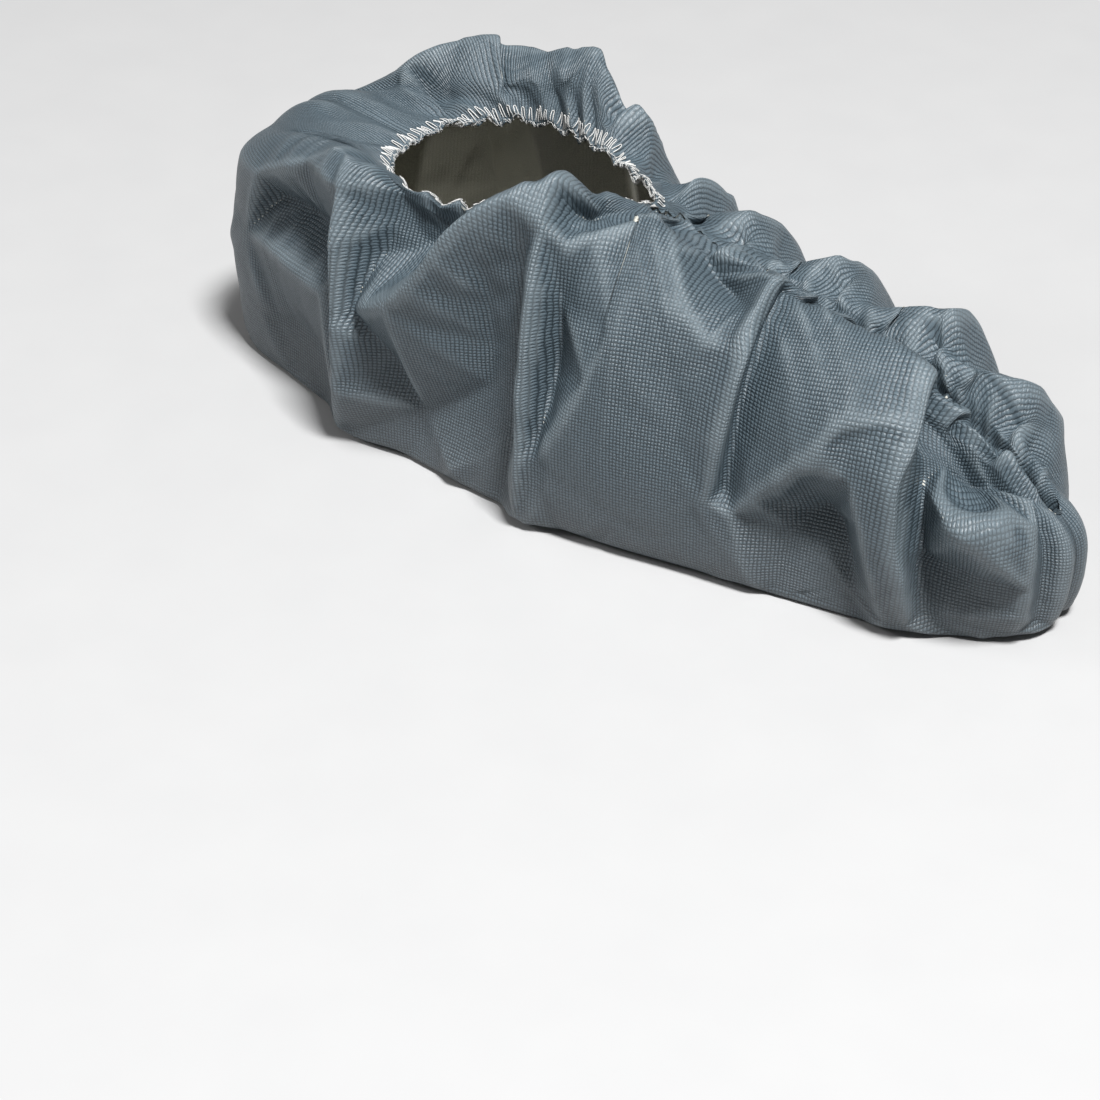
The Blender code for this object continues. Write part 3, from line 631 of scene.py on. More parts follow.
def sampled(grid: np.ndarray, rows: np.ndarray, columns: np.ndarray) -> np.ndarray:
    """A grid's values at places between its points, by shares of the four points round each place."""
    rows = np.clip(rows, 0, grid.shape[0] - 1.001)
    columns = np.clip(columns, 0, grid.shape[1] - 1.001)
    row, column = rows.astype(int), columns.astype(int)
    up, on = (rows - row)[..., None], (columns - column)[..., None]
    low = grid[row, column] * (1 - on) + grid[row, column + 1] * on
    high = grid[row + 1, column] * (1 - on) + grid[row + 1, column + 1] * on
    return low * (1 - up) + high * up


Operand = Union["Value", float]


class Value:
    """A shader socket that Python's operators work on: each adds the Math node that it names."""

    def __init__(self, graph: "Graph", socket: bpy.types.NodeSocket) -> None:
        """Wraps a socket of a graph's node."""
        self.graph = graph
        self.socket = socket

    def math(self, operation: str, *others: Operand, first: Operand | None = None) -> "Value":
        """Adds a Math node with this value, or first, as its first number."""
        start = self if first is None else first
        rest = others if first is None else (self, *others)
        inputs = dict(enumerate((start, *rest)))
        return self.graph.add("ShaderNodeMath", {"operation": operation}, inputs)

    def __add__(self, other: Operand) -> "Value":
        """Sum."""
        return self.math("ADD", other)

    __radd__ = __add__

    def __sub__(self, other: Operand) -> "Value":
        """Difference."""
        return self.math("SUBTRACT", other)

    def __rsub__(self, other: float) -> "Value":
        """Difference from a number."""
        return self.math("SUBTRACT", first=other)

    def __mul__(self, other: Operand) -> "Value":
        """Product."""
        return self.math("MULTIPLY", other)

    __rmul__ = __mul__

    def __truediv__(self, other: Operand) -> "Value":
        """Quotient."""
        return self.math("DIVIDE", other)

    def __pow__(self, power: float) -> "Value":
        """Power."""
        return self.math("POWER", power)

    def __abs__(self) -> "Value":
        """Size without its sign."""
        return self.math("ABSOLUTE")

    def sine(self) -> "Value":
        """Sine of an angle in radians."""
        return self.math("SINE")

    def ramp(self, low: float, high: float) -> "Value":
        """Smooth step: 0 up to low and 1 from high on."""
        settings = {"interpolation_type": "SMOOTHSTEP"}
        inputs = {"Value": self, "From Min": low, "From Max": high}
        return self.graph.add("ShaderNodeMapRange", settings, inputs)


class Graph:
    """A material's node tree, with one method that adds any node."""

    def __init__(self, name: str) -> None:
        """Starts a material with nothing but its output."""
        self.material = bpy.data.materials.new(name)
        self.material.use_nodes = True
        self.tree = self.material.node_tree
        self.tree.nodes.clear()

    def add(
        self,
        kind: str,
        settings: dict[str, object] | None = None,
        inputs: dict[Union[str, int], object] | None = None,
        output: Union[str, int] = 0,
    ) -> Value:
        """Adds a node.

        Args:
            kind: the node's type.
            settings: its own settings, set first.
            inputs: a number, colour or value for each of its sockets that isn't left as it is.
            output: which of its outputs to give.

        Returns:
            The output as a value.
        """
        node = self.tree.nodes.new(kind)
        for name, setting in (settings or {}).items():
            setattr(node, name, setting)
        for name, value in (inputs or {}).items():
            if isinstance(value, Value):
                self.tree.links.new(value.socket, node.inputs[name])
            else:
                node.inputs[name].default_value = value
        return Value(self, node.outputs[output])

    def mix(self, share: Operand, low: object, high: object) -> Value:
        """Mixes two colours, each a value or a tuple of red, green and blue."""
        inputs: dict[Union[str, int], object] = {0: share}
        for name, colour in ((6, low), (7, high)):
            inputs[name] = colour if isinstance(colour, Value) else (*colour, 1.0)
        return self.add("ShaderNodeMix", {"data_type": "RGBA"}, inputs, 2)

    def part(self, place: Value, axis: str) -> Value:
        """The X, Y or Z of a place."""
        return self.add("ShaderNodeSeparateXYZ", {}, {0: place}, axis)

    def map_place(self) -> Value:
        """The place on the piece's own map."""
        return self.add("ShaderNodeUVMap", {"uv_map": MAP})

    def object_place(self) -> Value:
        """The place in the object's own coordinates, which lie in the overshoe's frame."""
        return self.add("ShaderNodeTexCoord", {}, {}, "Object")

    def attribute(self, name: str) -> Value:
        """A number that is written at the mesh's points."""
        return self.add("ShaderNodeAttribute", {"attribute_name": name}, {}, "Fac")

    def vectors(self, operation: str, inputs: dict[Union[str, int], object]) -> Value:
        """Adds a Vector Math node."""
        return self.add("ShaderNodeVectorMath", {"operation": operation}, inputs)

    def shaken(self, place: Value, moved: Value, scale: float, detail: float, reach: float) -> Value:
        """A place moved on by coloured noise, read at the first place, times the reach."""
        inputs = {"Vector": place, "Scale": scale, "Detail": detail}
        shake = self.add("ShaderNodeTexNoise", {}, inputs, "Color")
        shake = self.vectors("SCALE", {0: shake, "Scale": reach})
        return self.vectors("ADD", {0: moved, 1: shake})

    def bump(self, height: Value, distance: float, strength: float) -> Value:
        """The normal of a relief this many metres high."""
        inputs = {"Strength": strength, "Distance": distance, "Height": height}
        return self.add("ShaderNodeBump", {}, inputs)

    def noise(self, place: Value, scale: float, detail: float = 2.0) -> Value:
        """Noise from 0 to 1."""
        inputs = {"Vector": place, "Scale": scale, "Detail": detail}
        return self.add("ShaderNodeTexNoise", {}, inputs, "Fac")

    def finish(self, inputs: dict[Union[str, int], object]) -> bpy.types.Material:
        """Adds the Principled shader with these sockets and joins it to the output."""
        shader = self.add("ShaderNodeBsdfPrincipled", {}, inputs)
        output = self.tree.nodes.new("ShaderNodeOutputMaterial")
        self.tree.links.new(shader.socket, output.inputs["Surface"])
        return self.material


@dataclass(frozen=True)
class CoatedCloth:
    """Outer face of the cloth: a slate blue film on nonwoven, embossed with a fine square grid, with
    painted shade in its pits.
    """

    # Painted shade: the colour of the emboss's pits, darker than the film.
    pit_shade: tuple[float, float, float] = (0.022, 0.033, 0.041)
    film: tuple[float, float, float] = (0.082, 0.112, 0.133)
    # Painted highlight on the crests, together with the film's whitening where it is creased.
    crest: tuple[float, float, float] = (0.200, 0.240, 0.262)
    # Painted bounce light from the floor: a paler, warmer colour on the lowest part of the cloth.
    painted_floor_bounce: tuple[float, float, float] = (0.120, 0.115, 0.112)
    pitch: float = 0.00122
    emboss: float = 0.00040
    roughness: float = 0.36

    def build(self) -> bpy.types.Material:
        """Makes the material from the cloth's own map and its gathered, crest and squeeze attributes."""
        graph = Graph("coated_cloth")
        place = graph.map_place()
        moved = graph.shaken(place, place, 55.0, 2.0, 0.0011)
        moved = graph.shaken(place, moved, 420.0, 1.0, 0.0012)
        cells = math.pi * UV_SPAN / self.pitch
        run, rise = graph.part(moved, "X") * cells, graph.part(moved, "Y") * cells
        gathered, crest, squeeze = (graph.attribute(name) for name in ("gathered", "crest", "squeeze"))
        half, quarter = squeeze.ramp(0.5, 0.9), squeeze.ramp(1.4, 1.8)
        ribs = abs(run.sine()) * (1 - half) + abs((run * 0.5).sine()) * half
        ribs = ribs * (1 - quarter) + abs((run * 0.25).sine()) * quarter
        bars = abs(rise.sine())
        uneven = graph.noise(place, 900.0, 3.0)
        blotch = graph.noise(place, 26.0, 3.0)
        grid = ribs * (1 - (1 - gathered) * (1 - bars))
        worn = graph.noise(place, 60.0, 3.0).ramp(0.25, 0.75)
        cushion = grid * (0.55 + 0.9 * uneven)
        # Painted shade in the emboss's pits: darker where the cushions sink, varied by random unevenness.
        colour = graph.mix(cushion.ramp(0.05, 0.60), self.pit_shade, self.film)
        # Painted highlight: lighter on the crests, partly also the creased film's whitening; the blotch
        # noise adds random tone.
        colour = graph.mix((crest * 0.40 + (blotch - 0.5) * 0.30).ramp(0.0, 1.0), colour, self.crest)
        # Painted bounce light from the floor: a fifth of the way to the warm tint below 4 mm, fading out by
        # 50 mm.
        height = graph.part(graph.object_place(), "Z")
        colour = graph.mix((1 - height.ramp(0.004, 0.050)) * 0.20, colour, self.painted_floor_bounce)
        rough = self.roughness + (uneven - 0.5) * 0.25 + (1 - cushion) * 0.10
        relief = cushion * (0.6 + 0.4 * worn) + (graph.noise(place, 2600.0, 2.0) - 0.5) * 0.30
        normal = graph.bump(relief, self.emboss, 1.0)
        inputs = {"Base Color": colour, "Roughness": rough, "Normal": normal}
        return graph.finish({**inputs, "Specular IOR Level": 0.55, "IOR": 1.47})


@dataclass(frozen=True)
class UncoatedCloth:
    """Inner face of the cloth: dull olive grey fibres with the grid showing through faintly."""

    fibre: tuple[float, float, float] = (0.390, 0.385, 0.340)
    pale: tuple[float, float, float] = (0.560, 0.555, 0.500)
    pitch: float = 0.00122

    def build(self) -> bpy.types.Material:
        """Makes the material from the cloth's own map."""
        graph = Graph("uncoated_cloth")
        place = graph.map_place()
        cells = math.pi * UV_SPAN / self.pitch
        dots = abs((graph.part(place, "X") * cells).sine()) * abs((graph.part(place, "Y") * cells).sine())
        fibres = graph.noise(place, 1400.0, 4.0)
        colour = graph.mix(fibres.ramp(0.35, 0.75), self.fibre, self.pale)
        relief = fibres * 0.8 + dots * 0.5
        normal = graph.bump(relief, 0.00015, 0.8)
        return graph.finish({"Base Color": colour, "Roughness": 0.85 - fibres * 0.1, "Normal": normal})


@dataclass(frozen=True)
class OverlockThread:
    """White spun thread, with painted shade in the grooves between its plies."""

    white: tuple[float, float, float] = (0.80, 0.80, 0.78)
    # Painted shade: the colour in the grooves between the plies.
    grey: tuple[float, float, float] = (0.50, 0.50, 0.49)
    twist: float = 0.0007

    def build(self) -> bpy.types.Material:
        """Makes the material: slanting plies from the thread's own map, painted grey in their grooves as
        shade, with fluff noise.
        """
        graph = Graph("overlock_thread")
        place = graph.map_place()
        along = graph.part(place, "X") * (math.pi * UV_SPAN / self.twist)
        round_it = graph.part(place, "Y") * (2 * math.pi)
        plies = abs((along + round_it).sine())
        fluff = graph.noise(graph.object_place(), 1800.0, 3.0)
        # Painted shade: grey in the grooves between the plies, white on them, varied by fluff noise.
        colour = graph.mix(plies * (0.6 + 0.8 * fluff), self.grey, self.white)
        normal = graph.bump(plies, 0.00012, 0.7)
        return graph.finish({"Base Color": colour, "Roughness": 0.62 + fluff * 0.2, "Normal": normal})


@dataclass(frozen=True)
class KnittedElastic:
    """Flat elastic: matt white yarn knitted over rubber, with fine ribs across it."""

    white: tuple[float, float, float] = (0.70, 0.70, 0.68)
    shade: tuple[float, float, float] = (0.34, 0.34, 0.33)
    rib: float = 0.0008

    def build(self) -> bpy.types.Material:
        """Makes the material from the band's own map."""
        graph = Graph("knitted_elastic")
        place = graph.map_place()
        along = graph.part(place, "X") * (math.pi * UV_SPAN / self.rib)
        across = graph.part(place, "Y") * (math.pi * UV_SPAN / self.rib)
        ribs = abs(along.sine()) * (0.6 + 0.4 * abs(across.sine()))
        fluff = graph.noise(place, 1500.0, 3.0)
        colour = graph.mix(ribs * (0.7 + 0.5 * fluff), self.shade, self.white)
        normal = graph.bump(ribs, 0.0002, 0.8)
        return graph.finish({"Base Color": colour, "Roughness": 0.8 + fluff * 0.1, "Normal": normal})


@dataclass(frozen=True)
class FloorPaper:
    """Plain pale floor with a barely mottled matt surface."""

    pale: tuple[float, float, float] = (0.43, 0.43, 0.43)
    shade: tuple[float, float, float] = (0.41, 0.41, 0.412)

    def build(self) -> bpy.types.Material:
        """Makes the material on object coordinates."""
        graph = Graph("floor_paper")
        mottle = graph.noise(graph.object_place(), 30.0, 4.0)
        colour = graph.mix(mottle, self.shade, self.pale)
        return graph.finish({"Base Color": colour, "Roughness": 0.7 + mottle * 0.1})


def grid_faces(rows: int, columns: int, round_columns: bool = False) -> np.ndarray:
    """Corner numbers of the four-sided faces between the points of a grid.

    Args:
        rows: the grid's rows.
        columns: the grid's columns.
        round_columns: whether the last column joins the first.

    Returns:
        Array of faces, counter-clockwise with columns to the right and rows up.
    """
    index = np.arange(rows * columns).reshape(rows, columns)
    if round_columns:
        index = np.column_stack([index, index[:, 0]])
    corners = [index[:-1, :-1], index[:-1, 1:], index[1:, 1:], index[1:, :-1]]
    return np.stack(corners, axis=-1).reshape(-1, 4)


def mesh_object(
    name: str,
    points: np.ndarray,
    faces: np.ndarray,
    materials: Sequence[bpy.types.Material],
    place: np.ndarray,
    material_of: np.ndarray | None = None,
) -> bpy.types.Object:
    """Puts points and four-sided faces into a smooth mesh object at the origin.

    Args:
        name: the object's name.
        points: x, y and z of each point.
        faces: corner numbers.
        materials: the object's materials.
        place: the map's two numbers at each point.
        material_of: the material's number for each face.

    Returns:
        The object, in the scene and riding on the body.
    """
    mesh = bpy.data.meshes.new(name)
    mesh.from_pydata(points.reshape(-1, 3), [], faces)
    for material in materials:
        mesh.materials.append(material)
    if material_of is not None:
        mesh.polygons.foreach_set("material_index", material_of.astype(np.int32))
    layer = mesh.uv_layers.new(name=MAP)
    corners = np.empty(len(mesh.loops), np.int32)
    mesh.loops.foreach_get("vertex_index", corners)
    layer.data.foreach_set("uv", place.reshape(-1, 2)[corners].astype(np.float32).ravel())
    mesh.shade_smooth()
    mesh.update()
    piece = bpy.data.objects.new(name, mesh)
    bpy.context.scene.collection.objects.link(piece)
    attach(piece, BODY)
    return piece


def tubes(paths: np.ndarray, radius: float) -> tuple[np.ndarray, ...]:
    """Thin four-sided tubes along many paths at once: a ring carried along each path and turned
    with it, and a face over each end.

    Args:
        paths: points, as paths, points on a path and x, y, z.
        radius: the tubes' radius in metres.

    Returns:
        The points, the faces and the map's two numbers at each point.
    """
    sides = 4
    ahead = unit(np.gradient(paths, axis=1))
    first = unit(np.cross(ahead, np.broadcast_to(TUBE_SIDE, ahead.shape)))
    second = np.cross(ahead, first)
    angle = np.linspace(0, 2 * math.pi, sides, endpoint=False)
    ring = first[:, :, None] * np.cos(angle)[:, None] + second[:, :, None] * np.sin(angle)[:, None]
    points = paths[:, :, None] + radius * ring
    count, length = paths.shape[:2]
    corners = np.arange(sides)
    caps = np.stack([corners[::-1], corners + (length - 1) * sides])
    one = np.concatenate([grid_faces(length, sides, round_columns=True), caps])
    faces = (one[None] + (np.arange(count) * length * sides)[:, None, None]).reshape(-1, 4)
    along = row_lengths(paths, 1)[:, :, None] / UV_SPAN + np.zeros(sides)
    place = np.stack([along % 1.0, np.broadcast_to(angle / (2 * math.pi), along.shape)], axis=-1)
    return points.reshape(-1, 3), faces, place


@dataclass
class Panel:
    """One half shell of coated cloth, with its folds, laps, gathers and crumples."""

    side: Side
    folds: Sequence[Fold]
    laps: Sequence[Lap]
    crumple: Crumple
    flat: tuple[float, float] = (0.240, 0.440)
    flat_area: float = 0.082
    opening_ribs: float = 0.036
    seam_ribs: float = 0.018
    rim_pleats: Gathers = Gathers(0.0058, 0.0011, 0.009, 5)
    rim_waves: Gathers = Gathers(0.0135, 0.0024, 0.026, 9)
    seam_pleats: Gathers = Gathers(0.0070, 0.0026, 0.008, 15)
    seam_waves: Gathers = Gathers(0.0190, 0.0040, 0.018, 21)
    outer: np.ndarray = field(init=False)
    inner: np.ndarray = field(init=False)
    base: np.ndarray = field(init=False)

    def __post_init__(self) -> None:
        """Works out the grids of the cloth's two faces."""
        shell = HalfShell(self.side)
        self.runs = self.run_places()
        self.rises = self.rise_places()
        self.base = shell.surface(self.runs, self.rises)
        self.cloth = Cloth2D(self.runs, self.rises, self.base)
        self.to_rim = np.flip(row_lengths(np.flip(self.base, 0), 0), 0)
        self.along_rim = row_lengths(self.base, 1)[-1]
        self.outer = self.folded()
        self.inner = self.lining(self.outer)

    @property
    def opening_columns(self) -> int:
        """How many of the grid's columns lie beside the opening."""
        return int(np.count_nonzero(self.runs <= SIZES.seam_start))

    @property
    def opening_length(self) -> float:
        """Length of the rim beside the opening, in metres."""
        return self.along_rim[self.opening_columns - 1]

    def edge_spacing(self) -> np.ndarray:
        """Mean distance between the rows next to the rim, for each column."""
        return self.to_rim[-1 - EDGE_ROWS] / EDGE_ROWS

    def run_places(self) -> np.ndarray:
        """Columns of the grid, with one where the instep seam starts."""
        beside = int(COLUMNS * SIZES.seam_start)
        first = np.linspace(0, SIZES.seam_start, beside)
        return np.concatenate([first, np.linspace(SIZES.seam_start, 1, COLUMNS - beside + 1)[1:]])

    def rise_places(self) -> np.ndarray:
        """Rows of the grid: few on the flat sole and many on the wall."""
        sole = np.linspace(0, SIZES.sole_rise, SOLE_ROWS, endpoint=False)
        return np.concatenate([sole, np.linspace(SIZES.sole_rise, 1, ROWS - SOLE_ROWS)])

    def folded(self) -> np.ndarray:
        """The outer face: the unfolded shell moved out and in by folds, crumples and gathers."""
        cloth, base = self.cloth, self.base
        run_in = steps(self.runs, 0, END_FADE) * steps(1 - self.runs, 0, END_FADE)
        rise_in = steps(self.rises, SIZES.sole_rise, SIZES.sole_rise + SOLE_FADE)
        rise_in = rise_in * steps(1 - self.rises, RIM_STRIP, RIM_FADE)
        inside = rise_in[:, None] * run_in[None, :]
        depth = cloth.rounded(cloth.facets(self.folds), CREASE_RADIUS) * SIZES.fold_depth
        ease = 1 - SHALLOW_SHARE * steps(self.rises, SIZES.shoulder_rise, SHALLOW_RISE)[:, None]
        depth = np.where(depth < 0, depth * ease, depth)
        crumples = cloth.rounded(self.crumple.heights(cloth), CREASE_RADIUS * CRUMPLE_SHARPNESS)
        depth = (depth + crumples) * inside
        outward = grid_normals(base, self.side)
        shoulder = np.searchsorted(self.rises, SIZES.shoulder_rise)
        fold_way = outward.copy()
        fold_way[shoulder:] = outward[shoulder]
        pleats = self.gathered(outward) * self.calm_by_laps()[..., None]
        height = depth + (pleats * outward).sum(axis=-1)
        points = base + fold_way * depth[..., None] + pleats + self.lap_shift(height)
        return self.sewn(points)

    def calm_by_laps(self) -> np.ndarray:
        """Share of the pleats that is left beside the laps: least on each lap's line."""
        left = np.ones(self.base.shape[:2])
        for lap, apart, along, _ in self.lap_places():
            beside = np.exp(-0.5 * (apart / lap.width / CALM_WIDTH) ** 2)
            left *= 1 - CALM_SHARE * beside * np.sin(math.pi * along) ** 0.3
        return left

    def lap_places(self) -> list[tuple[Lap, np.ndarray, np.ndarray, np.ndarray]]:
        """Each lap with every grid point's place beside its line, as Cloth2D.beside gives it."""
        places = []
        for lap in self.laps:
            rows = ((lap.run_a, lap.rise_a), (lap.run_b, lap.rise_b), (lap.run_c, lap.rise_c))
            places.append((lap, *self.cloth.beside(parabola(rows, LAP_POINTS))))
        return places

    def lap_shift(self, height: np.ndarray) -> np.ndarray:
        """Moves each lap's lip over its hollow: the shift rises to its reach at the lip, passes
        through nothing at the line and is the other way at the hollow, and so does the lift. Where
        the cloth climbs towards the hollow faster than the lift drops, it stays as it is.

        Args:
            height: how far the cloth stands out of the unfolded shell, in metres.

        Returns:
            The move of every point.
        """
        total = np.zeros_like(self.base)
        run_way = unit(np.gradient(self.base, axis=1))
        rise_way = unit(np.gradient(self.base, axis=0))
        outward = grid_normals(self.base, self.side)
        climb_run, climb_rise = (
            np.gradient(height, axis=axis) / np.linalg.norm(np.gradient(self.base, axis=axis), axis=-1)
            for axis in (1, 0)
        )
        for lap, apart, along, across in self.lap_places():
            share = apart / lap.width
            wave = -share * np.exp(0.5 - 0.5 * share**2) * np.sin(math.pi * along) ** 0.6
            climb = np.maximum(across[..., 0] * climb_run + across[..., 1] * climb_rise, 0.0)
            climb = self.cloth.rounded(climb**4, lap.width / 2) ** 0.25
            wave *= steps(math.exp(0.5) * lap.lift / lap.width - climb, *LAP_GUARD)
            flat = across * (lap.reach * wave)[..., None]
            total += run_way * flat[..., :1] + rise_way * flat[..., 1:]
            total += outward * (lap.lift * wave)[..., None]
        return total

    def gathered(self, outward: np.ndarray) -> np.ndarray:
        """Pleats that run out from the elastic and from the instep seam, over the unfolded cloth."""
        seam = self.runs > SIZES.seam_start
        drift = PLEAT_LEAN * self.side.value
        along = np.broadcast_to(self.along_rim, self.to_rim.shape)
        seam_along = along - self.along_rim[seam][0]
        rim = sum(part.heights(along, self.to_rim, drift) for part in (self.rim_pleats, self.rim_waves))
        sewn = sum(
            part.heights(np.maximum(seam_along, 0), self.to_rim, drift)
            for part in (self.seam_pleats, self.seam_waves)
        )
        start = np.argmax(seam)
        rim_share = steps(self.along_rim[start] - self.along_rim, *SEAM_BLEND)
        ends = steps(self.along_rim, 0, HEEL_END)
        ends = ends * steps(self.along_rim[-1] - self.along_rim, 0, TOE_END)
        height = (rim * rim_share + sewn * (1 - rim_share)) * ends
        up = np.exp(-self.to_rim / UPRIGHT_REACH)[..., None]
        return unit(outward * (1 - up) + np.array([0.0, 0.0, 1.0]) * up) * height[..., None]

    def sewn(self, points: np.ndarray) -> np.ndarray:
        """Brings the edges back to the seam plane and draws the cloth in along the seams."""
        seam = self.runs > SIZES.seam_start
        away = np.where(seam[None, :], self.to_rim, 1.0)
        away = np.minimum(away, row_lengths(self.base, 1))
        away = np.minimum(away, np.flip(row_lengths(np.flip(self.base, 1), 1), 1))
        depth, width = SEAM_PINCH
        pinch = depth * np.exp(-0.5 * (away / width) ** 2) * steps(self.rises, 0.1, 0.25)[:, None]
        points = points - grid_normals(self.base, self.side) * pinch[..., None]
        depth, width = SOLE_SEAM
        sole = depth * np.exp(-0.5 * (self.base[..., 1] / width) ** 2)
        sole = sole * (1 - steps(self.rises, 0.0, 0.2))[:, None]
        points[..., 2] = np.maximum(points[..., 2], 0.0) + sole
        out = self.side.value * points[..., 1]
        points[..., 1] = self.side.value * np.maximum(out, SEAM_GAP)
        edge = (away < TOUCHING) | (self.rises[:, None] <= 0)
        points[..., 1] = np.where(edge, self.side.value * SEAM_GAP, points[..., 1])
        return points

    def lining(self, outer: np.ndarray) -> np.ndarray:
        """The inner face: the outer one moved in by the cloth's thickness, on its own side."""
        inner = outer - grid_normals(outer, self.side) * SIZES.cloth
        inner[..., 2] = np.maximum(inner[..., 2], FLOOR_GAP)
        floor = (self.rises < SIZES.sole_rise)[:, None]
        raised = np.maximum(inner[..., 2], outer[..., 2] + SIZES.cloth)
        inner[..., 2] = np.where(floor, raised, inner[..., 2])
        inner[..., 1] = self.side.value * np.maximum(self.side.value * inner[..., 1], SEAM_GAP)
        return inner

    def build(self, shift: np.ndarray, materials: Sequence[bpy.types.Material]) -> bpy.types.Object:
        """Makes the panel: outer face, inner face and the edges between them, as one closed body."""
        rows, columns = self.outer.shape[:2]
        count = rows * columns
        sheet = grid_faces(rows, columns)
        index = np.arange(count).reshape(rows, columns)
        loop = np.concatenate([index[0, :-1], index[:-1, -1], index[-1, :0:-1], index[:0:-1, 0]])
        after = np.roll(loop, -1)
        hem = np.stack([after, loop, loop + count, after + count], axis=-1)
        faces = np.concatenate([sheet, sheet[:, ::-1] + count, hem])
        if self.side == Side.LEFT:
            faces = faces[:, ::-1]
        inside = np.repeat([0, 1, 0], [len(sheet), len(sheet), len(hem)])
        points = np.concatenate([self.outer.reshape(-1, 3), self.inner.reshape(-1, 3)]) - shift
        place = self.flat_places()
        place = np.concatenate([place, place + (0, 0.5)])
        name = f"{self.side.name.lower()}_cloth"
        piece = mesh_object(name, points, faces, materials, place, inside)
        self.paint(piece)
        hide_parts(f"{self.side.name.lower()}_panel")
        return piece

    def flat_places(self) -> np.ndarray:
        """The cloth's map: metres along the wall's middle row, and metres up from the ground edge."""
        middle = np.searchsorted(self.rises, 0.5)
        along = row_lengths(self.base, 1)[middle]
        up = row_lengths(self.base, 0)
        up = up - up[SOLE_ROWS][None, :] + MAP_GROUND
        along = np.broadcast_to(along, up.shape)
        return np.stack([along / UV_SPAN, up / UV_SPAN], axis=-1).reshape(-1, 2)

    def paint(self, piece: bpy.types.Object) -> None:
        """Writes how gathered the cloth is, how sharp its crests are and how often its width has
        been halved at each point."""
        reach = np.where(self.runs < SIZES.seam_start, self.opening_ribs, self.seam_ribs)
        near_seam = np.exp(-self.to_rim / reach)
        # The crest value drives the coated cloth's painted highlight on proud ridges.
        planes = [self.cloth.rounded(self.outer[..., axis], CREST_RADIUS) for axis in range(3)]
        smooth = np.stack(planes, axis=-1)
        proud = ((self.outer - smooth) * grid_normals(self.base, self.side)).sum(axis=-1)
        crest = np.clip(proud / CREST_HEIGHT, 0, 1)
        spacing = np.gradient(row_lengths(self.base, 1), axis=1)
        middle = np.searchsorted(self.rises, 0.5)
        squeeze = np.log2(spacing[middle] / np.maximum(spacing, 1e-5))
        for name, values in (("gathered", near_seam), ("crest", crest), ("squeeze", squeeze)):
            layer = piece.data.attributes.new(name, "FLOAT", "POINT")
            both = np.concatenate([values.ravel(), values.ravel()]).astype(np.float32)
            layer.data.foreach_set("value", both)


